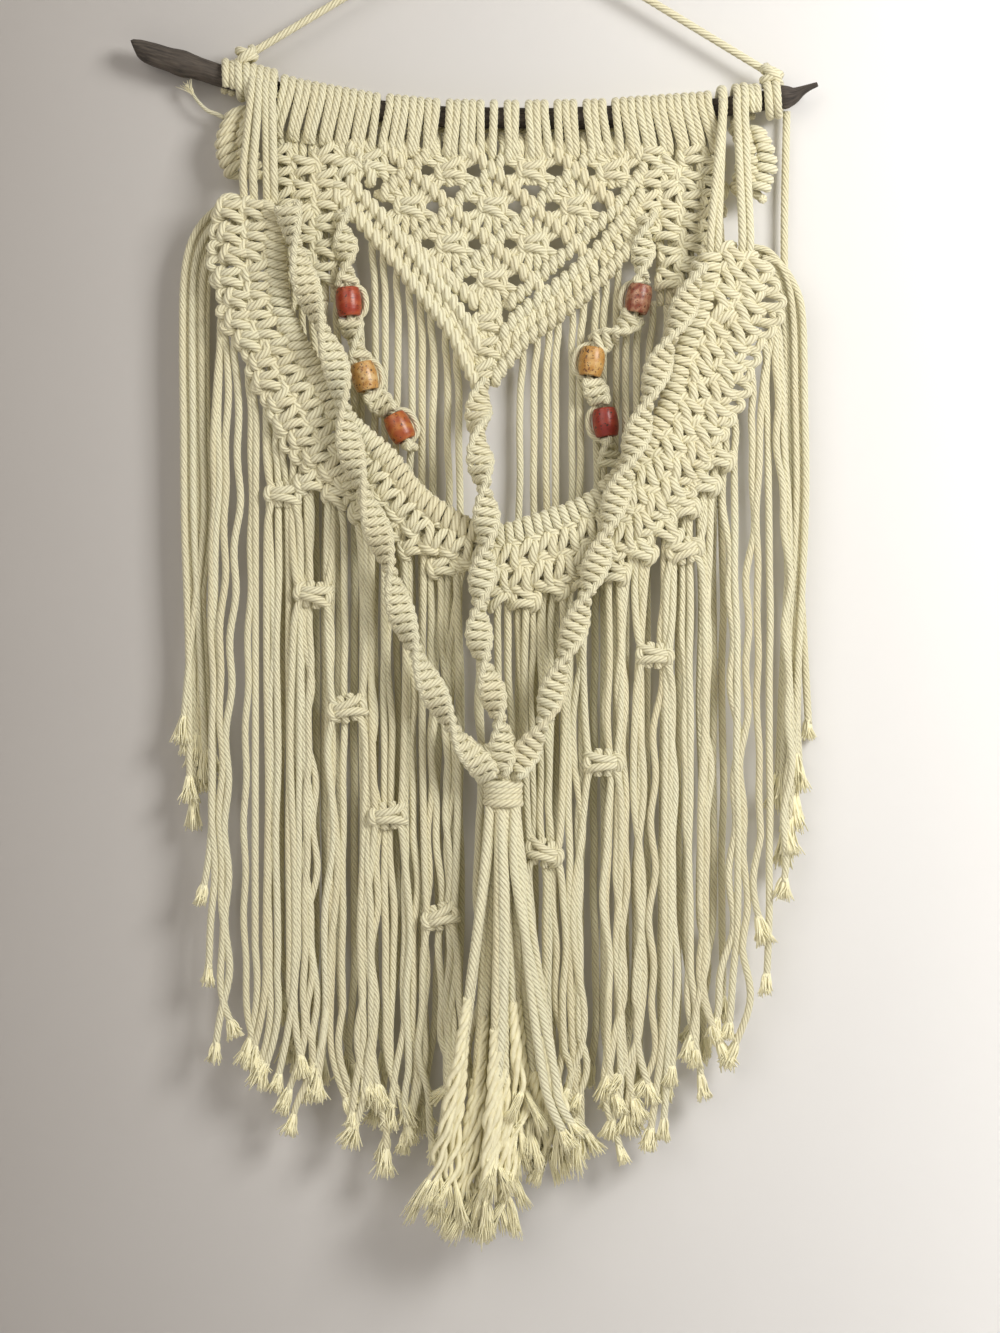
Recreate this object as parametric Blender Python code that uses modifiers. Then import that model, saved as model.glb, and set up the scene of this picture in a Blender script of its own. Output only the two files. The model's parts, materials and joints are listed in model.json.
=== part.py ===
"""Knotted cotton wall hanging on a driftwood branch.

Two knotted layers hang from one branch: a back panel with a V-shaped centre, and a front swag that
carries long fringe, spiral sinnets and a gathered tassel. The branch hangs on a cord over a nail.
Origin: top of the nail, where the hanging cord rests on it. +X is the viewer's right, +Z is up and
the front faces -Y. The wall is behind, at +Y.
"""

import math

import bmesh
import bpy
from mathutils import Matrix, Vector

MM = 0.001

# Cord, branch and beads
ROPE = 4.5 * MM
NAIL_R = 2.0 * MM
BRANCH_R = 5.2 * MM
BARE_TIP_LEFT = 46.0 * MM
BEAD_R = 6.5 * MM
BEAD_LENGTH = 14.5 * MM
BEAD_BORE_R = 3.2 * MM
SINNET_R = 5.0 * MM
SPIRAL_R = 6.6 * MM
WRAP_R = 10.7 * MM
WRAP_HEIGHT = 16.5 * MM
BUNCH_R = 4.0 * MM
SUSPENSION_R = 2.8 * MM

# Lengths that hang
FRINGE_DROP = 500.0 * MM
TASSEL_LENGTH = 205.0 * MM
TAIL_LENGTH = 310.0 * MM

# Thickness of the knotted layers
PANEL_THICK = 7.0 * MM
SWAG_THICK = 8.0 * MM
TASSEL_THICK = 14.0 * MM

# Clearances
GAP = 0.3 * MM
BEAD_CLEAR = 0.7 * MM
TURN_CLEAR = 1.0 * MM
STRAIGHT_STUB = 2.4 * MM

# Depth of each layer, from the back to the front
PANEL_Y = -2.0 * MM
BACK_FRINGE_Y = PANEL_Y + PANEL_THICK / 2 + GAP + ROPE / 2
SINNET_Y = BACK_FRINGE_Y - ROPE / 2 - 2 * GAP - BEAD_R
SWAG_BACK_Y = SINNET_Y - SINNET_R - GAP
SWAG_Y = SWAG_BACK_Y - SWAG_THICK / 2
FRONT_FRINGE_Y = SWAG_BACK_Y + GAP + ROPE / 2
FRINGE_FACE_Y = FRONT_FRINGE_Y - ROPE / 2
SPIRAL_Y = SWAG_BACK_Y - SWAG_THICK - 2 * GAP - SPIRAL_R
GATHER_Y = FRINGE_FACE_Y - 2 * GAP - WRAP_R
BUNCH_Y = FRONT_FRINGE_Y + ROPE / 2 + 2 * GAP + BUNCH_R
TAIL_Y = BUNCH_Y + BUNCH_R + 2 * GAP + ROPE / 2
STRAY_Y = ROPE / 2 + GAP

# Places along the branch, as (first x, last x)
SCALLOP_HEADS_LEFT = (-138.0 * MM, -131.6 * MM)
KNOT_LEFT = (-130.2 * MM, -122.6 * MM)
LOOP_LEFT = (-121.2 * MM, -109.6 * MM)
HEADS_MIDDLE = (-108.2 * MM, 107.6 * MM)
LOOP_RIGHT = (109.0 * MM, 124.6 * MM)
SCALLOP_HEADS_RIGHT = (126.0 * MM, 134.4 * MM)
KNOT_RIGHT = (135.8 * MM, 143.6 * MM)

# Heights
V_TIP_Z = -241.0 * MM
PANEL_TOP_Z = -115.5 * MM
GATHER_TOP_Z = -434.5 * MM
TAIL_TOP_Z = -99.0 * MM

CORD_COLOUR = (0.80, 0.74, 0.60, 1.0)
WOOD_COLOUR = (0.075, 0.062, 0.050, 1.0)
BEAD_COLOURS = {
    "bead_left_top": (0.42, 0.08, 0.035, 1.0),
    "bead_left_middle": (0.60, 0.32, 0.10, 1.0),
    "bead_left_bottom": (0.42, 0.14, 0.04, 1.0),
    "bead_right_top": (0.24, 0.09, 0.06, 1.0),
    "bead_right_middle": (0.58, 0.32, 0.11, 1.0),
    "bead_right_bottom": (0.38, 0.06, 0.035, 1.0),
}

# The branch's centre line, left tip to twig end, and its radius as a share of BRANCH_R
BRANCH_ROUTE = [
    (-160.0, -75.5, 1.08),
    (-135.5, -83.0, 1.0),
    (-98.0, -93.0, 1.0),
    (-63.0, -99.5, 1.0),
    (-28.0, -103.0, 1.0),
    (12.0, -103.7, 1.0),
    (52.0, -103.0, 1.0),
    (102.0, -99.5, 1.0),
    (130.0, -95.5, 0.95),
    (144.0, -93.3, 0.85),
    (150.0, -92.0, 0.72),
    (154.0, -89.8, 0.4),
    (162.0, -86.5, 0.26),
]

# Hand-laid routes, as (x, z) in millimetres, top to bottom
SINNET_TOP = {"left": (-75.5, -169.0), "right": (73.6, -182.5)}
SINNET_END = {"left": (-42.5, -271.0), "right": (57.5, -279.0)}
BEAD_PLACES = {
    "left": [
        ("bead_left_top", (-74.0, -197.0), (0.08, -1.0)),
        ("bead_left_middle", (-66.0, -234.5), (0.25, -1.0)),
        ("bead_left_bottom", (-48.5, -260.0), (0.5, -1.0)),
    ],
    "right": [
        ("bead_right_top", (71.5, -195.5), (-0.2, -1.0)),
        ("bead_right_middle", (48.0, -227.0), (-0.15, -1.0)),
        ("bead_right_bottom", (55.0, -257.5), (0.12, -1.0)),
    ],
}
SINNET_BENDS = {
    "left": [(-71.0, -216.0)],
    "right": [(63.0, -211.0)],
}
SPIRAL_LEFT = [
    (-103, -152), (-99, -172), (-91, -200), (-80, -228), (-75, -255),
    (-70, -280), (-61, -305), (-53, -330), (-46, -356), (-33, -388), (-18, -416), (-15.5, -420),
]
SPIRAL_RIGHT = [
    (101, -182), (92, -205), (80, -233), (70, -265), (60, -295),
    (51, -325), (42, -352), (31, -383), (23.5, -407), (20.5, -415),
]
SPIRAL_CENTRE = [
    (-7, -247), (-9, -262), (-7.5, -280), (-5, -300), (-5, -322),
    (-8, -345), (-8, -368), (-2, -392), (2.5, -410), (3, -420),
]
BUNCH_LEFT = [
    (-128, -147), (-138, -151), (-148, -163), (-153, -182), (-154, -215),
    (-153.5, -260), (-153, -310), (-152.5, -360), (-151, -405), (-149, -430),
]
BUNCH_RIGHT = [
    (130, -169), (139, -172), (147, -184), (150.5, -205), (151.5, -245),
    (152, -300), (151.5, -350), (150, -400), (148, -440), (147, -457),
]
TAIL_BENDS = [
    (0.0, 0.0), (-1.2, 0.2), (-0.4, 0.4), (3.5, 0.6), (7.5, 0.8), (11.0, 1.0),
]
STRAY_ROUTE = [(-141, -101), (-146, -99), (-151, -94), (-154, -89)]

# Outlines, as (x, z) in millimetres
V_SIDES = [(-80.5, -147.0), (-8.0, None), (-1.0, None), (79.5, -164.5)]
LATTICE_LEFT = [(-117, -115.5), (-81.3, -115.5), (-81.3, -147), (-84, -155), (-89, -197), (-103, -197), (-117, -167)]
LATTICE_RIGHT = [(80.3, -115.5), (113, -115.5), (115, -160), (104, -200), (88, -200), (82, -172), (80.3, -165)]
SWAG_INNER_LEFT = [
    (-113, -142), (-106.5, -165), (-103, -197), (-97, -213), (-85.5, -232),
    (-70.5, -255), (-51, -273), (-35.5, -292), (-15, -306), (1, -310),
]
SWAG_OUTER_LEFT = [
    (8, -342), (-13, -335), (-33, -322), (-52, -308), (-78, -292),
    (-105, -274), (-124, -230), (-134, -211), (-140, -189), (-139, -160), (-128, -141),
]
SWAG_INNER_RIGHT = [
    (103, -168), (101, -184), (97, -201), (88, -226), (80, -252),
    (61, -280), (48, -293), (34, -300), (22, -304), (1.7, -310),
]
SWAG_OUTER_RIGHT = [
    (8.7, -342), (37, -334), (62, -327), (82, -312), (102, -287),
    (122, -252), (134, -222), (144, -206), (138, -184), (127, -168),
]
# Fringe groups: name, the top edge left to right, the foot's left and right x, and how much shorter
# than the longest fringe each side of the foot is
FRONT_FRINGE = [
    ("front_fringe_left_outer", [(-147, -212), (-107, -277)], (-149, -107), (45, 30)),
    ("front_fringe_left_middle", [(-106, -277), (-80, -296), (-55, -312)], (-106, -55), (28, 0)),
    ("front_fringe_left_inner", [(-54, -312), (-33, -326), (-20, -334)], (-54, -21), (0, 3)),
    ("front_fringe_centre", [(-19, -335), (8, -345), (22, -340)], (-20, 22), (30, 30)),
    ("front_fringe_right_inner", [(23, -339), (53, -332)], (23, 53), (12, 5)),
    ("front_fringe_right_middle", [(54, -332), (82, -315), (95, -300)], (54, 96), (5, 15)),
    ("front_fringe_right_outer", [(96, -299), (122, -256), (146, -210)], (97, 149), (28, 40)),
]
BACK_FRINGE = [
    ("back_fringe_left_outer", [(-113, -205), (-90, -202)], (-116, -64), (50, 20)),
    ("back_fringe_left_inner", [(-62, -177), (-22, -227)], (-63, -15), (15, 10)),
    ("back_fringe_right_inner", [(14, -231), (52, -202)], (8, 62), (10, 15)),
    ("back_fringe_right_outer", [(84, -204), (112, -176)], (63, 118), (20, 50)),
]
FRINGE_FOOT_Z = -(111.5 * MM + FRINGE_DROP)
FRINGE_KNOTS = [
    ("fringe_knot_left_1", -106.5, -294), ("fringe_knot_left_2", -91.5, -344),
    ("fringe_knot_left_3", -74.5, -401), ("fringe_knot_left_4", -54, -454.5),
    ("fringe_knot_left_5", -28, -505), ("fringe_knot_right_1", 94.5, -322),
    ("fringe_knot_right_2", 79.5, -374.5), ("fringe_knot_right_3", 54, -428),
    ("fringe_knot_right_4", 24, -473),
]
KNOT_SIZE = (13.0 * MM, 5.0 * MM, 9.0 * MM)


def collection(name, shown=True):
    made = bpy.data.collections.new(name)
    bpy.context.scene.collection.children.link(made)
    made.hide_render = not shown
    return made


def material(name, colour, roughness):
    made = bpy.data.materials.new(name)
    made.use_nodes = True
    shader = made.node_tree.nodes["Principled BSDF"]
    shader.inputs["Base Color"].default_value = colour
    shader.inputs["Roughness"].default_value = roughness
    shader.inputs["Metallic"].default_value = 0.0
    made.diffuse_color = colour
    return made


def metres(x, z, y=0.0):
    """A point given by x and z in millimetres and y in metres."""
    return Vector((x * MM, y, z * MM))


def branch_axis(x):
    """The branch's centre and direction at x, by straight interpolation along its route."""
    spots = [metres(a, b) for a, b, _ in BRANCH_ROUTE]
    for first, last in zip(spots, spots[1:]):
        if x <= last.x:
            break
    share = (x - first.x) / (last.x - first.x)
    return first.lerp(last, share), (last - first).normalized()


def smooth(points, per_span=3):
    """Catmull-Rom curve through the points, read per_span times between each two."""
    ends = [2 * points[0] - points[1]] + points + [2 * points[-1] - points[-2]]
    out = []
    for a, b, c, d in zip(ends, ends[1:], ends[2:], ends[3:]):
        for i in range(per_span):
            t = i / per_span
            out.append(
                0.5 * (2 * b + (c - a) * t + (2 * a - 5 * b + 4 * c - d) * t**2
                       + (3 * b - a - 3 * c + d) * t**3)
            )
    return out + [points[-1]]


def tube(name, points, radius, shares=None, owner=None, coat=None, fineness=2):
    """A round cord along the points. shares scales the radius point by point."""
    curve = bpy.data.curves.new(name, "CURVE")
    curve.dimensions = "3D"
    curve.bevel_depth = radius
    curve.bevel_resolution = fineness
    curve.use_fill_caps = True
    spline = curve.splines.new("POLY")
    spline.points.add(len(points) - 1)
    for place, spot, share in zip(spline.points, points, shares or [1.0] * len(points)):
        place.co = (*spot, 1.0)
        place.radius = share
    made = bpy.data.objects.new(name, curve)
    owner.objects.link(made)
    curve.materials.append(coat)
    return made


def as_mesh(obj):
    """The curve object made a mesh, with its caps welded to its sides."""
    graph = bpy.context.evaluated_depsgraph_get()
    mesh = bpy.data.meshes.new_from_object(obj.evaluated_get(graph))
    work = bmesh.new()
    work.from_mesh(mesh)
    bmesh.ops.remove_doubles(work, verts=work.verts, dist=0.01 * MM)
    work.to_mesh(mesh)
    work.free()
    made = bpy.data.objects.new(obj.name, mesh)
    made.matrix_world = obj.matrix_world
    owner = obj.users_collection[0]
    name = obj.name
    bpy.data.objects.remove(obj)
    made.name = name
    owner.objects.link(made)
    return made


def turned(name, profile, centre, along, owner, coat, steps=16):
    """A profile of (radius, height) points, outer side first from its top, turned about a line."""
    mesh = bpy.data.meshes.new(name)
    spots = [(r, 0.0, h) for r, h in profile]
    edges = [(i, (i + 1) % len(spots)) for i in range(len(spots))]
    mesh.from_pydata(spots, edges, [])
    made = bpy.data.objects.new(name, mesh)
    owner.objects.link(made)
    mesh.materials.append(coat)
    screw = made.modifiers.new("Turn", "SCREW")
    screw.axis = "Z"
    screw.steps = steps
    screw.render_steps = steps
    screw.use_merge_vertices = True
    screw.merge_threshold = 0.01 * MM
    screw.use_smooth_shade = True
    tilt = Vector((0, 0, 1)).rotation_difference(along)
    made.matrix_world = Matrix.Translation(centre) @ tilt.to_matrix().to_4x4()
    return made


def ring(name, span, bore, outer, owner, coat):
    """A cord wrap round the branch between the two x values of span, with softened edges."""
    centre, along = branch_axis(sum(span) / 2)
    half = (span[1] - span[0]) / 2
    soft = (outer - bore) / 3
    profile = [
        (outer - soft, half), (outer, half - soft), (outer, soft - half),
        (outer - soft, -half), (bore, -half), (bore, half),
    ]
    return turned(name, profile, centre, along, owner, coat)


def slab(name, outline, y, thick, owner, coat):
    """A flat knotted area: an outline in the XZ plane, extruded to both sides of y."""
    curve = bpy.data.curves.new(name, "CURVE")
    curve.dimensions = "2D"
    curve.fill_mode = "BOTH"
    curve.extrude = thick / 2
    spline = curve.splines.new("POLY")
    spline.points.add(len(outline) - 1)
    spline.use_cyclic_u = True
    for place, spot in zip(spline.points, outline):
        place.co = (spot.x, spot.z, 0.0, 1.0)
    made = bpy.data.objects.new(name, curve)
    made.rotation_euler = (math.pi / 2, 0.0, 0.0)
    made.location = (0.0, y, 0.0)
    owner.objects.link(made)
    curve.materials.append(coat)
    return made


def box(name, centre, size, owner, coat):
    bpy.ops.mesh.primitive_cube_add(size=1.0, location=centre)
    made = bpy.context.object
    made.name = name
    for vertex in made.data.vertices:
        vertex.co = [c * s for c, s in zip(vertex.co, size)]
    made.users_collection[0].objects.unlink(made)
    owner.objects.link(made)
    made.data.materials.append(coat)
    bevel = made.modifiers.new("Soft edge", "BEVEL")
    bevel.width = min(size) / 4
    bevel.segments = 1
    return made


def wood(owner, coat):
    """The branch: a slanted tip, an even stem and a thin twig end."""
    first, along = branch_axis(BRANCH_ROUTE[0][0] * MM)
    tip = branch_axis(SCALLOP_HEADS_LEFT[0])[0] - along * BARE_TIP_LEFT
    points = [tip] + [metres(x, z) for x, z, _ in BRANCH_ROUTE]
    shares = [0.7] + [share for _, _, share in BRANCH_ROUTE]
    kept = [i for i, spot in enumerate(points) if i == 0 or spot.x > tip.x + 2 * MM]
    tube("branch", [points[i] for i in kept], BRANCH_R, [shares[i] for i in kept], owner, coat)


def branch_wraps(owner, cutters, coat):
    """The lark's head row, the side heads, the suspension loops and the hanging knots."""
    fixed_bore = BRANCH_R + GAP
    turning_bore = BRANCH_R + TURN_CLEAR
    ring("scallop_heads_left", SCALLOP_HEADS_LEFT, fixed_bore, fixed_bore + ROPE, owner, coat)
    ring("scallop_heads_right", SCALLOP_HEADS_RIGHT, fixed_bore, fixed_bore + ROPE, owner, coat)
    ring("suspension_loop_left", LOOP_LEFT, turning_bore, turning_bore + ROPE, owner, coat)
    ring("suspension_loop_right", LOOP_RIGHT, turning_bore, turning_bore + ROPE, owner, coat)
    ring("hanging_knot_left", KNOT_LEFT, turning_bore, turning_bore + ROPE, owner, coat)
    ring("hanging_knot_right", KNOT_RIGHT, turning_bore, turning_bore + ROPE, owner, coat)
    inside = [x * MM for x, _, _ in BRANCH_ROUTE if HEADS_MIDDLE[0] < x * MM < HEADS_MIDDLE[1]]
    line = [branch_axis(x)[0] for x in [HEADS_MIDDLE[0], *inside, HEADS_MIDDLE[1]]]
    overrun = 5 * MM
    longer = [line[0] + (line[0] - line[1]).normalized() * overrun, *line]
    longer.append(line[-1] + (line[-1] - line[-2]).normalized() * overrun)
    row = as_mesh(tube("lark_head_row", line, fixed_bore + ROPE, None, owner, coat, fineness=3))
    bore = as_mesh(tube("branch_bore", longer, fixed_bore, None, cutters, coat, fineness=2))
    bore.hide_render = True
    bore.display_type = "WIRE"
    cut = row.modifiers.new("Branch bore", "BOOLEAN")
    cut.operation = "DIFFERENCE"
    cut.object = bore


def hanging_cord(owner, coat):
    """The cord from the left knot over the nail to the right knot, and its free tail."""
    over = NAIL_R + ROPE / 2
    knot_top = BRANCH_R + TURN_CLEAR + ROPE + 2 * GAP + ROPE / 2
    inward = 2.0 * MM
    left = branch_axis(sum(KNOT_LEFT) / 2)[0] + Vector((inward, 0, knot_top))
    right = branch_axis(sum(KNOT_RIGHT) / 2)[0] + Vector((-inward, 0, knot_top))
    bend = []
    for turn in (150, 130, 110, 90, 70, 50, 30):
        angle = math.radians(90 + (turn - 90) * 0.5)
        bend.append(Vector((over * math.cos(angle), 0, over * math.sin(angle) - NAIL_R)))
    left_leg = [left.lerp(bend[0], i / 4) for i in range(4)]
    right_leg = [bend[-1].lerp(right, (i + 1) / 4) for i in range(4)]
    tube("hanging_cord", left_leg + bend + right_leg, ROPE / 2, None, owner, coat)
    top = Vector((sum(KNOT_RIGHT) / 2 + 7.5 * MM, TAIL_Y, TAIL_TOP_Z))
    tail = [top + Vector((dx * MM, 0, -share * TAIL_LENGTH)) for dx, share in TAIL_BENDS]
    tube("hanging_cord_tail", smooth(tail, 8), ROPE / 2, None, owner, coat)
    stray = [metres(x, z, STRAY_Y) for x, z in STRAY_ROUTE]
    tube("stray_cord_end", smooth(stray, 2), ROPE / 2, None, owner, coat)


def back_layer(owner, coat):
    """The V panel, the outer lattices, the side scallops and the back fringe."""
    sides = [metres(x, z) if z else Vector((x * MM, 0, V_TIP_Z)) for x, z in V_SIDES]
    left_top = Vector((sides[0].x, 0, PANEL_TOP_Z))
    right_top = Vector((sides[-1].x, 0, PANEL_TOP_Z))
    slab("v_panel", [left_top, *sides, right_top], PANEL_Y, PANEL_THICK, owner, coat)
    for name, outline in (("outer_lattice_left", LATTICE_LEFT), ("outer_lattice_right", LATTICE_RIGHT)):
        slab(name, [metres(x, z) for x, z in outline], PANEL_Y, PANEL_THICK, owner, coat)
    size = (13.0 * MM, PANEL_THICK, 33.0 * MM)
    for name, x, z in (("side_scallop_left", -130.5, -117.5), ("side_scallop_right", 131.5, -124.5)):
        box(name, metres(x, z, PANEL_Y), size, owner, coat)
    for group in BACK_FRINGE:
        fringe(group, BACK_FRINGE_Y, owner, coat)


def fringe(group, y, owner, coat):
    """One group of fringe cords as a flat curtain one cord thick."""
    name, top, foot, shorter = group
    upper = [metres(x, z) for x, z in top]
    lower = [
        Vector((foot[1] * MM, 0, FRINGE_FOOT_Z + shorter[1] * MM)),
        Vector((foot[0] * MM, 0, FRINGE_FOOT_Z + shorter[0] * MM)),
    ]
    slab(name, upper + lower, y, ROPE, owner, coat)


def beaded_sinnet(side, owner, coat, bead_coats):
    """A knotted column that narrows to its core cord inside each bead, and the beads on it."""
    half = BEAD_LENGTH / 2 + BEAD_CLEAR
    core = (BEAD_BORE_R - BEAD_CLEAR) / SINNET_R
    points = [metres(*SINNET_TOP[side], SINNET_Y)]
    shares = [1.0]
    step = 0.5 * MM
    for number, (name, place, direction) in enumerate(BEAD_PLACES[side]):
        centre = metres(*place, SINNET_Y)
        along = Vector((direction[0], 0, direction[1])).normalized()
        stub = half + step + STRAIGHT_STUB
        for distance, share in (
            (-stub, 1.0), (-half - step, 1.0), (-half, core),
            (half, core), (half + step, 1.0), (stub, 1.0),
        ):
            points.append(centre + along * distance)
            shares.append(share)
        if number == 0:
            points.append(metres(*SINNET_BENDS[side][0], SINNET_Y))
            shares.append(1.0)
        barrel(name, centre, along, owner, bead_coats[name])
    points.append(metres(*SINNET_END[side], SINNET_Y))
    shares.append(1.0)
    tube(f"beaded_sinnet_{side}", points, SINNET_R, shares, owner, coat)


def barrel(name, centre, along, owner, coat):
    """A barrel bead with a straight bore, turned about its own axis."""
    half = BEAD_LENGTH / 2
    rim = BEAD_BORE_R + 1.4 * MM
    profile = [
        (rim, half), (BEAD_R * 0.92, half * 0.62), (BEAD_R, 0.0), (BEAD_R * 0.92, -half * 0.62),
        (rim, -half), (BEAD_BORE_R, -half), (BEAD_BORE_R, half),
    ]
    turned(name, profile, centre, along, owner, coat)


def front_layer(owner, coat):
    """The suspension cords, the swag's halves, the front fringe and its small knots."""
    loop_front = -(BRANCH_R + TURN_CLEAR + ROPE + GAP + SUSPENSION_R)
    for name, x, top_x, foot in (
        ("suspension_outer_left", -124, -118.4, -137.0),
        ("suspension_inner_left", -111.8, -112.3, -137.0),
        ("suspension_outer_right", 124, 121, -163.0),
        ("suspension_inner_right", 109.5, 113, -163.0),
    ):
        top = branch_axis(top_x * MM)[0] + Vector((0, loop_front, 0))
        foot_spot = Vector((x * MM, SWAG_Y, foot * MM))
        tube(name, [top, top.lerp(foot_spot, 0.5), foot_spot], SUSPENSION_R, None, owner, coat)
    for side, inner, outer in (
        ("left", SWAG_INNER_LEFT, SWAG_OUTER_LEFT),
        ("right", SWAG_INNER_RIGHT, SWAG_OUTER_RIGHT),
    ):
        outline = [metres(x, z) for x, z in inner + outer]
        slab(f"swag_{side}", outline, SWAG_Y, SWAG_THICK, owner, coat)
    for group in FRONT_FRINGE:
        fringe(group, FRONT_FRINGE_Y, owner, coat)
    for name, x, z in FRINGE_KNOTS:
        centre = metres(x, z, FRINGE_FACE_Y - GAP - KNOT_SIZE[1] / 2)
        box(name, centre, KNOT_SIZE, owner, coat)


def spirals(owner, coat):
    """The three spiral sinnets, which run in front of the swag to the gathering wrap."""
    for name, route, start_y in (
        ("spiral_left", SPIRAL_LEFT, SPIRAL_Y),
        ("spiral_right", SPIRAL_RIGHT, SPIRAL_Y),
        ("spiral_centre", SPIRAL_CENTRE, PANEL_Y),
    ):
        points = []
        for x, z in route:
            over_swag = min(1.0, (z - route[0][1]) / -46.0)
            y = start_y + (SPIRAL_Y - start_y) * over_swag
            points.append(metres(x, z, y))
        tube(name, smooth(points, 2), SPIRAL_R, None, owner, coat)


def gather_and_tassel(owner, coat):
    """The wrap that binds the spirals, and the tassel below it in two parts."""
    half = WRAP_HEIGHT / 2
    soft = 1.5 * MM
    centre = Vector((3.5 * MM, GATHER_Y, GATHER_TOP_Z - half))
    profile = [
        (0.0, half), (WRAP_R - soft, half), (WRAP_R, half - soft), (WRAP_R, soft - half),
        (WRAP_R - soft, -half), (0.0, -half),
    ]
    turned("gathering_wrap", profile, centre, Vector((0, 0, 1)), owner, coat)
    top = GATHER_TOP_Z - WRAP_HEIGHT - 2 * GAP
    foot = top - TASSEL_LENGTH
    split = 12.0 * MM
    unlaid = [
        Vector((-6.0 * MM, 0, top)), Vector((4.0 * MM, 0, top)), Vector((split, 0, top - 60 * MM)),
        Vector((split, 0, foot + 40 * MM)), Vector((2 * MM, 0, foot)), Vector((-20 * MM, 0, foot)),
        Vector((-32 * MM, 0, foot + 45 * MM)), Vector((-12 * MM, 0, top - 95 * MM)),
    ]
    slab("tassel_unlaid", unlaid, GATHER_Y, TASSEL_THICK, owner, coat)
    gap = 2 * GAP
    whole = [
        Vector((4.0 * MM + gap, 0, top)), Vector((13.0 * MM, 0, top)), Vector((24 * MM, 0, top - 60 * MM)),
        Vector((39 * MM, 0, foot + 62 * MM)), Vector((30 * MM, 0, foot + 15 * MM)),
        Vector((split + gap, 0, foot + 40 * MM)), Vector((split + gap, 0, top - 60 * MM)),
    ]
    slab("tassel_cord_ends", whole, GATHER_Y, TASSEL_THICK, owner, coat)


def side_bunches(owner, coat):
    """The cords that loop outwards from the swag's upper corners and hang outside it."""
    for name, route in (("side_bunch_left", BUNCH_LEFT), ("side_bunch_right", BUNCH_RIGHT)):
        points = [metres(x, z, BUNCH_Y) for x, z in route]
        tube(name, smooth(points, 2), BUNCH_R, None, owner, coat)


def main():
    for obj in list(bpy.data.objects):
        bpy.data.objects.remove(obj, do_unlink=True)
    hanging = collection("wall_hanging")
    cutters = collection("cutters", shown=False)
    cord = material("cotton_cord", CORD_COLOUR, 0.9)
    bark = material("driftwood", WOOD_COLOUR, 0.85)
    bead_coats = {name: material(name, colour, 0.4) for name, colour in BEAD_COLOURS.items()}
    wood(hanging, bark)
    branch_wraps(hanging, cutters, cord)
    hanging_cord(hanging, cord)
    back_layer(hanging, cord)
    for side in ("left", "right"):
        beaded_sinnet(side, hanging, cord, bead_coats)
    front_layer(hanging, cord)
    spirals(hanging, cord)
    gather_and_tassel(hanging, cord)
    side_bunches(hanging, cord)


main()
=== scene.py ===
import json
import math

import bpy
import numpy as np
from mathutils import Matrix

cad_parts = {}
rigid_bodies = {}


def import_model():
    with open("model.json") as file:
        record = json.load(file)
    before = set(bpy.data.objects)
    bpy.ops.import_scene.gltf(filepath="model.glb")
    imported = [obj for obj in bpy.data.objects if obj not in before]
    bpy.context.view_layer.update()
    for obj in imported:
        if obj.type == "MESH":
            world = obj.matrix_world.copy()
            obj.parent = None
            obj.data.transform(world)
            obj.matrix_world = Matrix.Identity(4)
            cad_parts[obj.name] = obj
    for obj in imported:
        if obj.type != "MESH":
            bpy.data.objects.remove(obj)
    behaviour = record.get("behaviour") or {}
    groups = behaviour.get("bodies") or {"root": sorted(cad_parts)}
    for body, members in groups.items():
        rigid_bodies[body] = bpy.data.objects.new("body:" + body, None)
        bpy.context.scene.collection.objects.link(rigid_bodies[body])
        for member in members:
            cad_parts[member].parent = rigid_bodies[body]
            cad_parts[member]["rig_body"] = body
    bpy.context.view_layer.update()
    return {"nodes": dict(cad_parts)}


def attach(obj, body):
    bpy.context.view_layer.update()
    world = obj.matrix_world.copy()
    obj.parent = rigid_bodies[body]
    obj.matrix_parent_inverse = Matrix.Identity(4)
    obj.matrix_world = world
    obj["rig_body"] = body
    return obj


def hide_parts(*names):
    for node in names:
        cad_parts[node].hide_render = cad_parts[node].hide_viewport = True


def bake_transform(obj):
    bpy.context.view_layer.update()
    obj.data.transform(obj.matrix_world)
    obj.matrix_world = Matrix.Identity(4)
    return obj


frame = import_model()

# Everything below is laid out in millimetres and made metres as each piece is finished.
MM = 0.001
FRONT = np.array([0.0, -1.0, 0.0])
UPWARD = np.array([0.0, 0.0, 1.0])
ALONG_X = np.array([1.0, 0.0, 0.0])
chance = np.random.default_rng(11)

# The cotton cord: three strands, each of two yarns, laid to the left. Knots press it thicker than
# it is where it hangs free.
CORD_R = 2.05
FREE_R = 1.75
TAIL_R = 1.9
LAY = 16.5
FRAY = 11.5
SPREAD = 0.34

# How finely cord is drawn: points round it, and the distance between rings
SIDES = 12
LOOSE_STEP = 1.75
KNOT_STEP = 1.2

# Depth of each layer, from the wall to the front
PANEL_Y = -2.0
BACK_FRINGE_Y = 4.05
SINNET_Y = -5.3
SWAG_Y = -14.6
FRONT_FRINGE_Y = -8.05
TIED_Y = -11.6
SPIRAL_Y = -25.8
GATHER_Y = -21.6
BUNCH_Y = -1.2
TAIL_Y = 5.65
STRAY_Y = 2.55

# Driving sizes that the CAD pieces share
BRANCH_R = 5.2
BEAD_HALF, BEAD_R, BORE_R = 7.25, 6.5, 3.2
WRAP_TOP, WRAP_HEIGHT, WRAP_X = -434.5, 16.5, 3.5


# ---------------------------------------------------------------- lines

def unit(v):
    """Each vector made one long."""
    return v / np.maximum(np.linalg.norm(v, axis=-1, keepdims=True), 1e-9)


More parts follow.
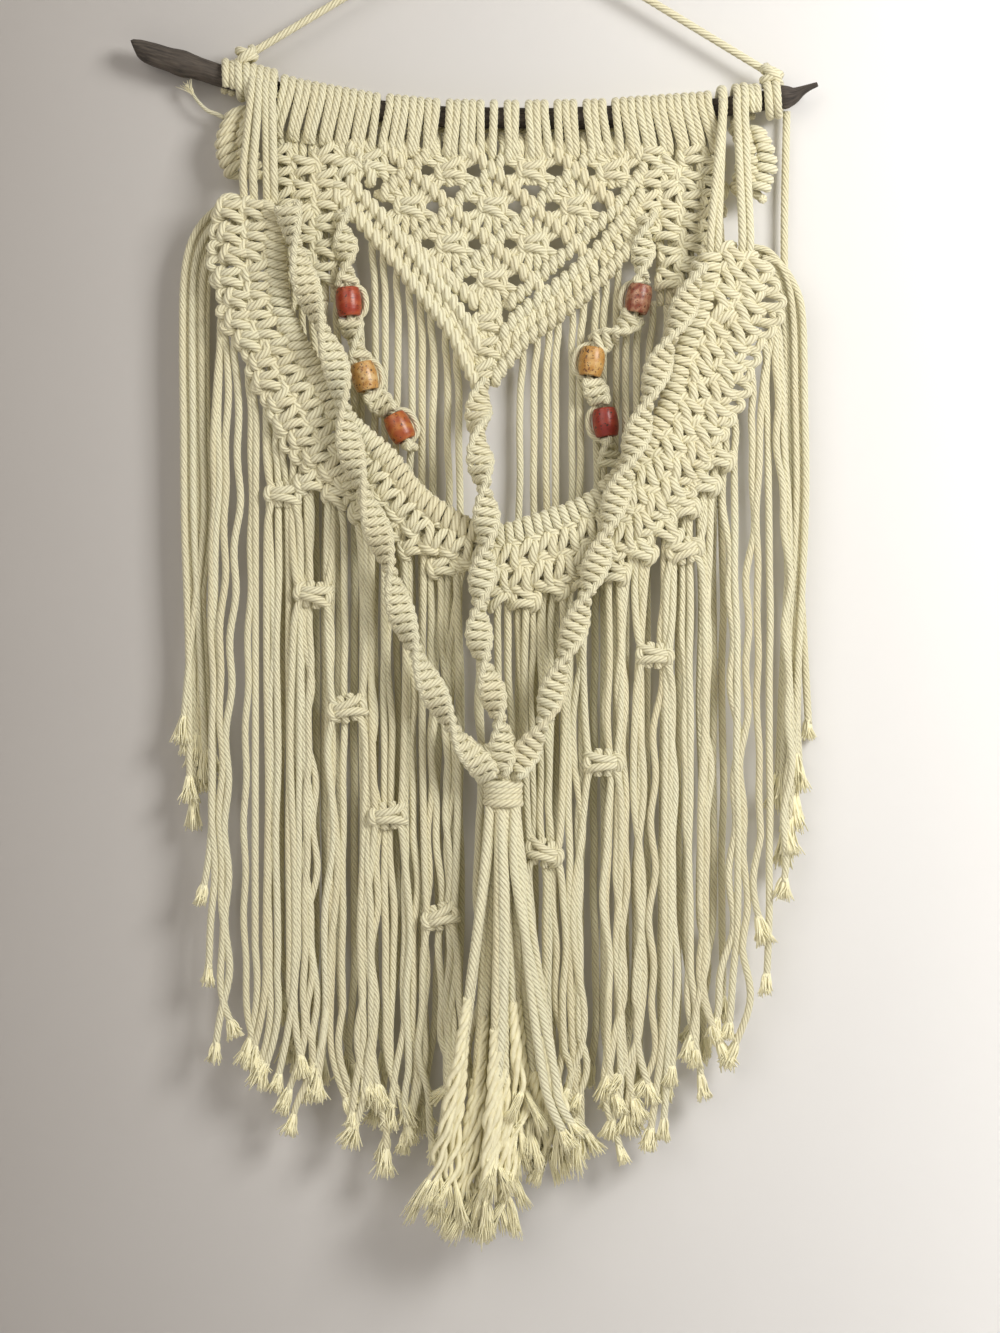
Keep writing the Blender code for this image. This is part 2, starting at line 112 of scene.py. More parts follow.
def smooth(points, per_span=6):
    """Curve through the points: between each two, the cubic that their four nearest points fix."""
    p = np.asarray(points, float)
    wide = np.vstack([2 * p[0] - p[1], p, 2 * p[-1] - p[-2]])
    t = (np.arange(per_span) / per_span)[None, :, None]
    a, b, c, d = (wide[i:len(wide) - 3 + i, None] for i in range(4))
    spans = 0.5 * (2 * b + (c - a) * t + (2 * a - 5 * b + 4 * c - d) * t**2
                   + (3 * b - a - 3 * c + d) * t**3)
    return np.vstack([spans.reshape(-1, 3), p[-1]])


def about(centre, offsets):
    """Smooth curve through points given as offsets from a centre."""
    return smooth(np.add(centre, offsets))


def run(line):
    """Distance along the line at each of its points."""
    return np.concatenate([[0.0], np.cumsum(np.linalg.norm(np.diff(line, axis=0), axis=1))])


def read(line, far, at):
    """The line's points at places given by at, where far is the place of each point that it has."""
    return np.stack([np.interp(at, far, line[:, i]) for i in range(3)], axis=-1)


def even(line, count):
    """The line read at count places, an even distance apart."""
    far = run(line)
    return read(line, far, np.linspace(0.0, far[-1], count))


def flat(points, y):
    """(x, z) pairs as points at depth y, which may be one number or one for each."""
    p = np.asarray(points, float)
    return np.stack([p[:, 0], np.broadcast_to(y, len(p)), p[:, 1]], axis=1)


# ---------------------------------------------------------------- pieces

def put(name, data):
    """An object in the scene that shows the data."""
    made = bpy.data.objects.new(name, data)
    bpy.context.scene.collection.objects.link(made)
    return made


def circle(count):
    """Angles of count points, evenly round a circle."""
    return 2 * np.pi * np.arange(count) / count


class Stock:
    """Tubes gathered for one piece, as points, faces and texture values."""

    def __init__(self):
        self.points, self.faces, self.values = [], [], []
        self.total = 0

    def tubes(self, rings, along, around):
        """rings (K, N, S, 3) is K tubes of N rings of S points, closed round and capped.
        along (K, N) and around (S + 1) are the two texture values."""
        k, n, s, _ = rings.shape
        ids = self.total + np.arange(k * n * s).reshape(k, n, s)
        after = np.roll(ids, -1, axis=2)
        sides = np.stack([ids[:, :-1], after[:, :-1], after[:, 1:], ids[:, 1:]], -1)
        u = np.broadcast_to(along[:, :, None], (k, n, s))
        v = np.broadcast_to(around[:-1], (k, n, s))
        w = np.broadcast_to(around[1:], (k, n, s))
        self.faces.append(sides.reshape(-1, 4))
        self.values.append(np.stack([
            np.stack([u[:, :-1], v[:, :-1]], -1), np.stack([u[:, :-1], w[:, :-1]], -1),
            np.stack([u[:, 1:], w[:, 1:]], -1), np.stack([u[:, 1:], v[:, 1:]], -1),
        ], -2).reshape(-1, 4, 2))
        hubs = self.total + k * n * s + np.arange(2 * k).reshape(k, 2)
        first = np.broadcast_to(hubs[:, :1], (k, s))
        last = np.broadcast_to(hubs[:, 1:], (k, s))
        for cap, row in (((first, after[:, 0], ids[:, 0]), 0), ((last, ids[:, -1], after[:, -1]), -1)):
            self.faces.append(np.stack(cap, -1).reshape(-1, 3))
            self.values.append(np.stack([u[:, row], v[:, row]], -1).reshape(-1, 1, 2).repeat(3, 1))
        self.points += [rings.reshape(-1, 3), rings[:, [0, -1]].mean(2).reshape(-1, 3)]
        self.total += k * n * s + 2 * k

    def finish(self, name, coat, *nodes, body=None, replaces=True):
        """Makes the piece, which rides with the body of the CAD nodes that it stands for."""
        mesh = bpy.data.meshes.new(name)
        points = np.concatenate(self.points) * MM
        corners = np.concatenate([f.reshape(-1) for f in self.faces])
        sizes = np.concatenate([np.full(len(f), f.shape[1]) for f in self.faces])
        mesh.vertices.add(len(points))
        mesh.vertices.foreach_set("co", points.astype(np.float32).ravel())
        mesh.loops.add(len(corners))
        mesh.loops.foreach_set("vertex_index", corners.astype(np.int32))
        mesh.polygons.add(len(sizes))
        starts = np.concatenate([[0], np.cumsum(sizes)[:-1]])
        mesh.polygons.foreach_set("loop_start", starts.astype(np.int32))
        mesh.polygons.foreach_set("use_smooth", np.ones(len(sizes), bool))
        mesh.update(calc_edges=True)
        layer = mesh.uv_layers.new(name="lay")
        values = np.concatenate([v.reshape(-1, 2) for v in self.values])
        layer.data.foreach_set("uv", values.astype(np.float32).ravel())
        mesh.materials.append(coat)
        made = put(name, mesh)
        if replaces and nodes:
            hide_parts(*nodes)
        if body is None:
            body = frame["nodes"][nodes[0]]["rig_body"]
        if body:
            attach(made, body)
        return made


def rings_on(path, facing, angle, radius):
    """Rings round each path (K, N, 3) at the angles and radii given. Angle 0 is the direction
    square to the path that is nearest to facing."""
    ahead = unit(np.gradient(path, axis=1))
    facing = np.asarray(facing, float)
    facing = facing[:, None] if facing.ndim == 2 else facing
    side = unit(facing - (facing * ahead).sum(-1, keepdims=True) * ahead)
    lift = np.cross(ahead, side)
    return path[:, :, None] + radius * (
        np.cos(angle)[..., None] * side[:, :, None] + np.sin(angle)[..., None] * lift[:, :, None]
    )


def rope(stock, lines, radius=CORD_R, facing=FRONT, step=KNOT_STEP, lay=LAY, sides=SIDES, taper=None):
    """Laid cord along each line: a ring of six lobes, with every second groove deeper, that turns
    one full left-hand turn each lay. taper scales the radius from the first ring to the last."""
    longest = max(run(line)[-1] for line in lines)
    count = max(4, int(longest / step) + 2)
    path = np.stack([even(np.asarray(line, float), count) for line in lines])
    lengths = np.array([run(p) for p in path])
    k = len(path)
    turn = chance.uniform(0, 2 * np.pi, (k, 1)) - 2 * np.pi * lengths / lay
    place = np.arange(sides)
    angle = circle(sides) + turn[..., None]
    lobes = 1.0
    if sides == SIDES:
        lobes = 1 + 0.075 * (-1.0) ** place + 0.02 * np.cos(np.pi * (place - 3) / 2)
    share = 1.0 if taper is None else np.interp(np.linspace(0, 1, count), *taper)[None, :, None]
    r = radius * lobes * share * (1 + chance.normal(0, 0.02, (k, 1, 1)))
    rings = rings_on(path, facing, angle, np.broadcast_to(r, angle.shape)[..., None])
    along = lengths / lay + 40.0 * chance.integers(0, 400, (k, 1))
    stock.tubes(rings, along, np.arange(sides + 1) / sides)
    return path


def hung(stock, lines, radius=FREE_R, lay=LAY, taper=None):
    """Laid cord that hangs or runs hidden, with its rings further apart than in a knot."""
    return rope(stock, lines, radius, FRONT, LOOSE_STEP, lay, taper=taper)


def coil(line, across, wide, deep, pitch, lean):
    """Wraps along the line: half-width wide in the direction across and deep towards the front,
    one wrap each pitch. A wrap crosses the front almost square to the line, leaning by that share
    of a pitch, and moves on by one pitch as it passes behind."""
    far = run(line)
    turns = max(1, round(far[-1] / pitch))
    part = np.linspace(0, turns, turns * 18 + 1)
    behind = np.clip((part % 1) * 2 - 1, 0, 1)
    moved = np.floor(part) + behind**2 * (3 - 2 * behind)
    moved[-1] = turns
    uneven = np.interp(part, np.arange(turns + 1), chance.normal(0, 0.07, turns + 1))
    moved = np.clip((moved - 0.5 * lean * np.cos(2 * np.pi * part) + uneven) / turns, 0, 1) * far[-1]
    spots = read(line, far, moved)
    across = read(np.broadcast_to(np.asarray(across, float), line.shape), far, moved)
    swell = 1 + np.interp(part, np.arange(turns + 1), chance.normal(0, 0.06, turns + 1))[:, None]
    phase = 2 * np.pi * part[:, None]
    return spots + across * wide * swell * np.cos(phase) + FRONT * deep * swell * np.sin(phase)


def wound(stock, line, across, wide, deep, pitch, radius, lean):
    """A coil of cord along the line, with its hidden carrying cord left out."""
    line = np.asarray(line, float)
    ahead = unit(line[-1] - line[0])
    rope(stock, [coil(line, across, wide, deep, pitch, lean)], radius, ahead)


def placed(lines, centre, turn, size, mirror):
    """Template lines (across, up, towards the front) set at centre, turned in the hanging's plane.
    size is one number, or one for each of the three."""
    c, s = math.cos(turn), math.sin(turn)
    out = []
    for line in lines:
        p = np.asarray(line, float) * size
        a = -p[:, 0] if mirror else p[:, 0]
        out.append(np.stack([
            centre[0] + a * c - p[:, 1] * s, centre[1] - p[:, 2], centre[2] + a * s + p[:, 1] * c,
        ], axis=1))
    return out


# A square knot's lines: its left edge, two strands across its front, its right edge, and the two
# cords inside it
SQUARE_KNOT = [smooth(p, 4) for p in (
    [(-4.0, 5.4, -2.4), (-6.2, 3.6, 0.4), (-6.9, 0.0, 1.7), (-6.2, -3.6, 0.4), (-4.0, -5.4, -2.4)],
    [(-6.4, 0.6, -1.8), (-3.6, 1.9, 2.0), (0.6, 2.5, 3.2), (4.6, 4.0, 2.0), (7.4, 6.0, -1.6)],
    [(-6.4, -0.6, -1.8), (-3.6, -2.0, 2.0), (0.6, -2.5, 3.1), (4.6, -3.8, 1.9), (7.4, -5.8, -1.6)],
    [(4.4, 4.4, -2.2), (6.7, 2.4, 0.2), (7.1, 0.0, 0.9), (6.7, -2.4, 0.2), (4.4, -4.4, -2.2)],
    [(-1.8, 8.4, -1.8), (-1.7, 4.2, -0.1), (-1.6, 0.0, -0.3), (-1.7, -4.2, -0.1), (-1.8, -8.4, -1.8)],
    [(2.4, 8.4, -1.8), (2.5, 4.2, -0.1), (2.4, 0.0, -0.3), (2.5, -4.2, -0.1), (2.4, -8.4, -1.8)],
)]


def square_knots(stock, spots, size, radius=CORD_R, core=True):
    """Square knots at spots of (centre, turn, mirror). core adds the two cords that they are tied
    round."""
    lines = []
    for centre, turn, mirror in spots:
        shape = SQUARE_KNOT if core else SQUARE_KNOT[:4]
        lines += placed(shape, centre, turn, np.multiply(size, chance.uniform(0.92, 1.08)), mirror)
    rope(stock, lines, radius)


# ---------------------------------------------------------------- frayed ends

def frayed(stock, ends, ways, long=FRAY, spread=SPREAD, count=60, root=1.5, thick=0.6):
    """Loose fibres at each cord end: fine threads that start inside the cord, run on the way it
    went and part from its axis evenly over a narrow cone, each swaying a little by chance."""
    ends = np.asarray(ends, float)
    ways = unit(np.asarray(ways, float))
    k = len(ends)
    helper = np.where(np.abs(ways[:, :1]) < 0.8, [[1.0, 0, 0]], [[0, 1.0, 0]])
    a = unit(np.cross(ways, helper))
    b = np.cross(ways, a)
    turn = chance.uniform(0, 2 * np.pi, (k, count, 1))
    out = np.sqrt(chance.uniform(0, 1, (k, count, 1)))
    radial = a[:, None] * np.cos(turn) + b[:, None] * np.sin(turn)
    lean = spread * chance.uniform(0.7, 1.35, (k, 1, 1)) * out * chance.uniform(0.6, 1.2, (k, count, 1))
    lengths = long * chance.uniform(0.75, 1.25, (k, 1, 1)) * chance.uniform(0.8, 1.08, (k, count, 1))
    t = np.linspace(0, 1, 6)[None, None, :, None]
    bend = radial[:, :, None] * (root * out[:, :, None] + lean[:, :, None] * lengths[:, :, None] * t**1.4)
    sway = chance.normal(0, 0.5, (k, count, 1, 3)) * np.sin(np.pi * t * 1.4)
    go = ways[:, None, None] * (lengths[:, :, None] * t - 2.2)
    path = (ends[:, None, None] + go + bend + sway).reshape(k * count, 6, 3)
    rings = rings_on(path, (0.3, -1.0, 0.1), circle(3), thick * (1 - 0.45 * t.reshape(1, 6, 1, 1)))
    along = np.linspace(0, 1, 6) + chance.uniform(0, 900, (k * count, 1))
    stock.tubes(rings, along, np.arange(4) / 3)


def end_of(path):
    """(last point, way it runs there) of each path."""
    return path[:, -1], path[:, -1] - path[:, -4]


# ---------------------------------------------------------------- materials

class Value:
    """A shader socket that can be added, taken away, multiplied and raised like a number."""

    def __init__(self, coat, socket):
        self.coat, self.socket = coat, socket

    def __add__(self, other):
        return self.coat.maths("ADD", self, other)

    def __sub__(self, other):
        return self.coat.maths("SUBTRACT", self, other)

    def __rsub__(self, other):
        return self.coat.maths("SUBTRACT", other, self)

    def __mul__(self, other):
        return self.coat.maths("MULTIPLY", self, other)

    def __pow__(self, other):
        return self.coat.maths("POWER", self, other)


class Coat:
    """One material, built by expressions on its sockets."""

    def __init__(self, name, **uniform):
        self.material = bpy.data.materials.new(name)
        self.material.use_nodes = True
        self.tree = self.material.node_tree
        self.shader = self.tree.nodes["Principled BSDF"]
        for key, value in uniform.items():
            self.shader.inputs[key.replace("_", " ")].default_value = value

    def set(self, socket, value):
        """Feeds the socket from a Value, or sets it to a plain number or colour."""
        if isinstance(value, Value):
            self.tree.links.new(value.socket, socket)
        else:
            socket.default_value = value

    def node(self, kind, settings, sockets, output=0):
        """A new node with its settings and inputs. Gives one of its outputs."""
        made = self.tree.nodes.new(kind)
        for key, value in settings.items():
            setattr(made, key, value)
        for key, value in sockets.items():
            self.set(made.inputs[key], value)
        return Value(self, made.outputs[output])

    def maths(self, operation, a, b=0.0, clamp=False):
        return self.node("ShaderNodeMath", {"operation": operation, "use_clamp": clamp}, {0: a, 1: b})

    def share(self, value, most=1.0):
        """The value times most, kept between 0 and 1."""
        return self.maths("MULTIPLY", value, most, True)

    def wave(self, value):
        """Cosine of a value counted in turns, from 0 to 1."""
        return self.maths("COSINE", value * (2 * math.pi)) * 0.5 + 0.5

    def blend(self, share, a, b):
        """Colour a where share is 0, and b where it is 1."""
        made = self.tree.nodes.new("ShaderNodeMix")
        made.data_type = "RGBA"
        shown = [s for s in made.inputs if s.enabled]
        for socket, value in zip(shown, (share, a, b)):
            self.set(socket, value)
        return Value(self, next(s for s in made.outputs if s.enabled))

    def noise(self, where, scale, detail=2.0):
        return self.node("ShaderNodeTexNoise", {}, {"Vector": where, "Scale": scale, "Detail": detail})

    def where(self):
        return self.node("ShaderNodeTexCoord", {}, {}, "Object")

    def lay(self):
        """The piece's own two texture values, along and around."""
        uv = self.node("ShaderNodeUVMap", {"uv_map": "lay"}, {}, "UV")
        apart = self.node("ShaderNodeSeparateXYZ", {}, {0: uv}).socket.node
        return Value(self, apart.outputs[0]), Value(self, apart.outputs[1])

    def point(self, x, y, z=0.0):
        return self.node("ShaderNodeCombineXYZ", {}, {0: x, 1: y, 2: z})

    def bump(self, height, distance, strength=1.0):
        self.set(self.shader.inputs["Normal"], self.node("ShaderNodeBump", {}, {
            "Height": height, "Distance": distance, "Strength": strength,
        }))

    def colour(self, value):
        self.set(self.shader.inputs["Base Color"], value)


def cotton():
    """Laid cord: grooves between strands darkened with painted shade, fine fibres along them, slight tone
    from cord to cord.
    """
    coat = Coat("laid_cotton", Roughness=0.92, Sheen_Weight=0.25, Sheen_Roughness=0.6)
    along, around = coat.lay()
    groove = coat.wave(around * 3.0 - 0.25) ** 4.0
    crease = coat.wave(around * 6.0 - 0.5) ** 3.0
    fibre = coat.noise(coat.point(along * 9.0, around * 40.0), 1.0, 3.0)
    tone = coat.noise(coat.point(along * 0.05, 3.1), 1.0, 1.0)
    patch = coat.noise(coat.where(), 55.0, 2.0)
    base = coat.blend((tone - 0.35) * 2.4, (0.87, 0.83, 0.60, 1), (0.79, 0.715, 0.47, 1))
    base = coat.blend((patch - 0.4) * 0.9, base, (0.88, 0.865, 0.64, 1))
    # Painted shade: the grooves between the strands are blended towards this brown shade colour, and the
    # fibre streaks darken towards it too.
    groove_shade_colour = coat.blend(0.62, base, (0.36, 0.28, 0.11, 1))
    shade = groove * 0.2 + crease * 0.6 + (0.5 - fibre) * 0.5
    coat.colour(coat.blend(coat.share(shade), base, groove_shade_colour))
    coat.bump(fibre * 0.35 - groove * 0.15 - crease * 0.5, 0.0009, 0.8)
    return coat.material


def fibres(name, pale, deep):
    """Combed-out cotton: pale and deep streaks along each thread."""
    coat = Coat(name, Roughness=1.0, Specular_IOR_Level=0.15)
    along, around = coat.lay()
    streak = coat.noise(coat.point(along * 0.8, around * 2.0), 1.0, 1.0)
    patch = coat.noise(coat.where(), 80.0, 2.0)
    base = coat.blend((streak - 0.3) * 1.2, pale, deep)
    coat.colour(coat.blend(patch * 0.3, base, pale))
    return coat.material


def driftwood():
    """Dry bark: grey-brown, with long cracks and paler worn ridges."""
    coat = Coat("driftwood_bark", Roughness=0.85)
    along, around = coat.lay()
    crack = coat.noise(coat.point(along * 2.2, around * 26.0), 1.0, 5.0)
    patch = coat.noise(coat.where(), 70.0, 3.0)
    base = coat.blend((crack - 0.35) * 2.6, (0.026, 0.021, 0.018, 1), (0.115, 0.092, 0.072, 1))
    coat.colour(coat.blend((patch - 0.45) * 1.6, base, (0.15, 0.125, 0.10, 1)))
    coat.bump(crack * 0.8 + patch * 0.3, 0.0012)
    return coat.material


def bead_coat(name, base, second, vein, speck, streaks):
    """Painted wood: base and second colours in soft bands along the grain, thin veins, dark specks."""
    coat = Coat(name, Roughness=0.4, Coat_Weight=0.2, Coat_Roughness=0.25)
    along, around = coat.lay()
    turns = coat.maths("COSINE", around * (2 * math.pi))
    back = coat.maths("SINE", around * (2 * math.pi))
    skin = coat.point(turns * streaks, back * streaks, along * 1.6)
    band = coat.noise(skin, 1.6, 3.0)
    line = coat.noise(skin, 3.2, 4.0)
    spot = coat.noise(coat.where(), 620.0, 1.0)
    tint = coat.blend((band - 0.42) * 5.0, base, second)
    tint = coat.blend(coat.share((line - 0.56) * 9.0), tint, vein)
    coat.colour(coat.blend(coat.share((spot - 0.66) * 30.0, speck), tint, (0.035, 0.018, 0.01, 1)))
    coat.bump(line * 0.5 - spot * 0.4, 0.0003)
    return coat.material


COTTON = cotton()
FIBRE = fibres("loose_fibre", (0.98, 0.93, 0.67, 1), (0.93, 0.86, 0.59, 1))
STRAND = fibres("unlaid_strand", (0.90, 0.85, 0.60, 1), (0.68, 0.60, 0.37, 1))
BARK = driftwood()


# ---------------------------------------------------------------- branch and hanging cord

# The branch's centre line, as (x, z), with its radius as a share of BRANCH_R
BRANCH = np.array([
    (-182.5, -68.6, 0.80), (-181.0, -69.1, 0.98), (-178.0, -70.0, 1.08), (-171.0, -72.2, 1.12),
    (-160.0, -75.5, 1.08), (-148.0, -79.0, 1.04), (-135.5, -83.0, 1.0), (-98.0, -93.0, 1.0),
    (-63.0, -99.5, 1.0), (-28.0, -103.0, 1.0), (12.0, -103.7, 1.0), (52.0, -103.0, 1.0),
    (102.0, -99.5, 1.0), (130.0, -95.5, 0.95), (144.0, -93.3, 0.85), (150.0, -92.0, 0.72),
    (154.0, -89.8, 0.44), (158.0, -88.0, 0.30), (162.0, -86.5, 0.22),
])


def branch_at(x):
    """Height of the branch's centre line at x."""
    return np.interp(x, BRANCH[:, 0], BRANCH[:, 1])


def branch():
    """Bark surface: rings along the centre line, their radius roughened by ridges that run along
    the wood and by slow swellings, cut slantwise at the thick end."""
    stock = Stock()
    n, s = 230, 36
    line = smooth(flat(BRANCH[:, :2], 0.0), 8)
    path = even(line, n)
    radius = np.interp(path[:, 0], BRANCH[:, 0], BRANCH[:, 2]) * BRANCH_R
    far = run(path)
    angle = circle(s)
    ridges = sum(
        a * np.sin(m * angle[None] + p + 0.03 * q * far[:, None])
        for m, a, p, q in (
            (3, 0.030, 0.4, 1.0), (5, 0.028, 2.0, -1.3), (8, 0.022, 1.1, 0.8), (13, 0.016, 5.0, 1.6))
    )
    slow = 0.04 * np.sin(far / 17.0) + 0.03 * np.sin(far / 7.3 + 1.0)
    knobs = sum(
        high * np.exp(-((path[:, 0] - x) / wide) ** 2)
        for high, x, wide in ((0.35, 146.0, 3.5), (0.18, -158.0, 5.0))
    )
    r = radius[:, None] * (1 + ridges + (slow + knobs)[:, None]) + chance.normal(0, 0.04, (n, s))
    rings = rings_on(path[None], FRONT, angle, r[None, ..., None])
    slant = np.exp(-far / 9.0)[:, None] * (rings[0, ..., 2] - path[:, None, 2])
    rings[0, ..., 0] -= 0.75 * slant
    stock.tubes(rings, far[None] / 22.0, np.arange(s + 1) / s)
    stock.finish("branch_bark", BARK, "branch")


def round_branch(x, turns, start, reach, lean, width):
    """A cord wound round the branch at x: turns of a circle across it, starting at start degrees
    from its top towards the front, moving along by width each turn."""
    count = int(abs(turns) * 22) + 4
    angle = np.radians(start) + 2 * np.pi * np.linspace(0, turns, count)
    along = x + width * np.linspace(-0.5, 0.5, count) * abs(turns)
    return np.stack([
        along + lean * np.sin(angle), -reach * np.sin(angle), branch_at(along) + reach * np.cos(angle),
    ], axis=1)


def lark_heads():
    """Cords folded over the branch: each comes up behind it, crosses the top and runs down the front."""
    stock = Stock()
    within_pair, between_pairs, bare = 3.75, 3.95, 3.0
    bare_spots = (-58.0, -25.4, -5.8, 3.0, 12.0, 27.0, 43.6, 57.0)
    x, xs = -106.2, []
    while x < 106.6:
        xs.append(x)
        x += within_pair if len(xs) % 2 else between_pairs
        x += bare if any(abs(x - spot) < 1.9 for spot in bare_spots) else 0.0
    lines = []
    for i, x in enumerate(xs):
        pair = 1 if i % 2 else -1
        drift = 0.055 * x - pair * 0.75 + chance.normal(0, 0.3)
        axis = branch_at(x)
        reach = BRANCH_R + CORD_R
        turn = np.radians(np.linspace(-135, 82, 16))
        over = np.stack([np.full(16, x), -reach * np.sin(turn), axis + reach * np.cos(turn)], 1)
        down = [
            (x + 0.3 * drift, -6.9, axis - 5.0), (x + 0.65 * drift, -5.7, axis - 11.0),
            (x + drift, -4.0, axis - 17.5), (x + 1.05 * drift, -1.0, axis - 21.5),
        ]
        lines.append(np.vstack([over, smooth([over[-1], *down], 5)[1:]]))
    rope(stock, lines, 2.02, ALONG_X)
    bars = [
        np.stack([np.linspace(a, b, 40), np.full(40, 6.9), branch_at(np.linspace(a, b, 40)) - 4.4], 1)
        for a, b in ((-107.5, 0.0), (0.0, 107.5))
    ]
    rope(stock, bars, 2.0, UPWARD, LOOSE_STEP)
    stock.finish("lark_head_cords", COTTON, "lark_head_row")


def hanging_cord():
    """The cord over the nail, and at each end a knot of two turns, crossed by the cord itself."""
    over, left_x, right_x = 4.25, -126.4, 139.7
    left = np.array([-125.0, 0.0, branch_at(left_x) + 13.6])
    right = np.array([138.0, 0.0, branch_at(right_x) + 13.0])
    angle = np.radians([120, 110, 100, 90, 80, 70, 60])
    bend = np.stack([over * np.cos(angle), np.zeros(7), over * np.sin(angle) - 2.0], 1)
    stock = Stock()
    line = np.vstack([
        [left + (left - bend[0]) * 0.03, left], left + (bend[0] - left) * 0.5,
        bend, right + (bend[-1] - right) * 0.5, [right, right + (right - bend[-1]) * 0.02],
    ])
    hung(stock, [line], TAIL_R, 19.0)
    stock.finish("hanging_cord_laid", COTTON, "hanging_cord")
    for side, x, top, start in (("left", left_x, left, 20.0), ("right", right_x, right, -20.0)):
        stock = Stock()
        lean = 1.0 if side == "left" else -1.0
        wraps = [round_branch(x - 0.2, 1.75, start, BRANCH_R + 3.1, 0.6 * lean, 4.2)]
        rope(stock, wraps, 2.1, ALONG_X)
        ball = []
        for tilt, lift_by, size in ((0.35, 0.2, 4.4), (-0.4, 2.9, 4.0)):
            t = np.linspace(0, 2 * np.pi, 26)
            ball.append(np.stack([
                top[0] - 0.6 * lean + size * np.cos(t), -1.2 + 3.2 * np.sin(t) - 1.4,
                top[2] - 3.0 + lift_by + tilt * size * np.cos(t),
            ], 1))
        cross = [(-5.2, -1.0, -6.0), (-3.0, -5.6, -3.4), (0.4, -6.6, -0.8), (2.6, -3.6, 1.6), (1.6, 0.2, 3.6)]
        rope(stock, ball, 2.0, UPWARD)
        rope(stock, [about(top, np.multiply(cross, (lean, 1, 1)))], 2.0)
        stock.finish(f"hanging_knot_{side}_cord", COTTON, f"hanging_knot_{side}")


# ---------------------------------------------------------------- back layer

# The V's borders, the rows of its net and the knots in its openings, all as (x, z)
V_LEFT_LOWER = [
    (-80, -143.5), (-68, -156), (-56.5, -169), (-40, -189), (-23.5, -210), (-17.5, -222), (-12, -234),
    (-7.5, -241),
]
V_LEFT_UPPER = [(-73, -137), (-60, -151), (-46.5, -166.5), (-30, -186), (-15, -206), (-7, -222)]
V_RIGHT_LOWER = [(79.5, -153), (62, -175), (44.5, -193), (16, -214.5), (8, -224), (1.5, -232), (-2.0, -239)]
V_RIGHT_UPPER = [(72.5, -144), (54, -167), (36, -184.5), (12, -203), (1, -216)]
V_NET = [
    [(-56, -119), (-43.5, -130), (-23, -148.5), (-2.5, -167), (18, -185.5), (26, -193)],
    [(-14.5, -119), (-1.8, -130), (19, -148.5), (39.5, -167), (47, -174)],
    [(27, -119), (40, -130), (60.5, -148.5), (66, -153)],
    [(-31, -119), (-43.5, -130), (-60, -145)],
    [(10.5, -119), (-1.8, -130), (-22, -148.5), (-43, -167), (-48, -171)],
    [(52.5, -119), (40, -130), (19.5, -148.5), (-1, -167), (-21.5, -185.5), (-27, -190)],
    [(74, -130), (61, -148.5), (41, -167), (20, -185.5), (4, -200)],
    [(-73, -119), (-63, -130), (-64, -139)],
    [(-43.5, -167), (-23, -185.5), (-8, -199)],
]
V_KNOTS = [
    (-62.5, -126), (-23, -130.5), (17.5, -130.5), (58.5, -131), (-43.5, -148.5), (-2, -148.5), (40, -148.5),
    (-22.5, -167.5), (18.5, -167.5), (-2, -185.5), (-4.5, -207.0), (-5.0, -219.5), (-6.0, -231.5),
]


# Cords that leave a knot for the rows beside it, as (across, depth, up) from the knot. The knots at
# the V's tip have none.
V_FANS = [
    [(2.5, 0.8, 3.0), (6.5, -0.4, 7.0), (8.5, 0.6, 11.5)],
    [(5.0, 0.8, 1.5), (10.5, -0.2, 4.6), (14.5, 0.6, 6.2)],
]
V_FANS_END = -200


def v_panel():
    """The V: a net of hitched rows with a square knot in each opening, inside two hitched borders."""
    stock = Stock()
    for row in V_NET:
        line = smooth(flat(row, PANEL_Y), 5)
        wound(stock, line, UPWARD, 2.2, 2.5, 5.5, 2.35, 0.25)
    for row in (V_LEFT_LOWER, V_LEFT_UPPER, V_RIGHT_LOWER, V_RIGHT_UPPER):
        line = smooth(flat(row, PANEL_Y - 0.6), 5)
        wound(stock, line, UPWARD, 2.4, 2.6, 5.7, 2.4, 0.25)
    links = []
    for lower, upper in ((V_LEFT_LOWER, V_LEFT_UPPER), (V_RIGHT_LOWER, V_RIGHT_UPPER)):
        low = even(smooth(flat(lower, PANEL_Y)), 20)[1:-2]
        high = even(smooth(flat(upper, PANEL_Y)), 20)[1:-2]
        for a, b in zip(low, high):
            x = 0.5 * (a[0] + b[0]) + chance.normal(0, 0.5)
            middle = (x, PANEL_Y - 1.4, 0.5 * (a[2] + b[2]))
            links.append(smooth([(a[0], PANEL_Y + 1, a[2]), middle, (b[0], PANEL_Y + 1, b[2])]))
    rope(stock, links, 2.3)
    spots, fans = [], []
    for x, z in V_KNOTS:
        for a in (-2.0, 2.4):
            half = [(a * 1.5, 1.4, 15.5), (a, -0.2, 9.0), (a, 0.6, 0.0)]
            fans.append(about((x, PANEL_Y, z), half + [(far, y, -up) for far, y, up in half[1::-1]]))
        spots.append(((x, PANEL_Y - 0.2, z), chance.normal(0, 0.12), False))
        for turned in (((-1, -1), (-1, 1), (1, -1), (1, 1)) if z > V_FANS_END else ()):
            for fan in V_FANS:
                fans.append(about((x, PANEL_Y, z), [(a * turned[0], y, b * turned[1]) for a, y, b in fan]))
    fans = [f for f in fans if f[:, 2].min() > -238 and f[:, 2].max() < -116]
    square_knots(stock, spots, 0.86)
    rope(stock, fans)
    stems = []
    for x in np.arange(-76, 78, 4.6):
        low = -122 - chance.uniform(0, 5)
        aside, further = chance.normal(0, 1), chance.normal(0, 1.5)
        stems.append(smooth([(x, 0.0, -112), (x + aside, -3.0, -118), (x + further, -1.2, low)]))
    rope(stock, stems)
    stock.finish("v_panel_knots", COTTON, "v_panel")


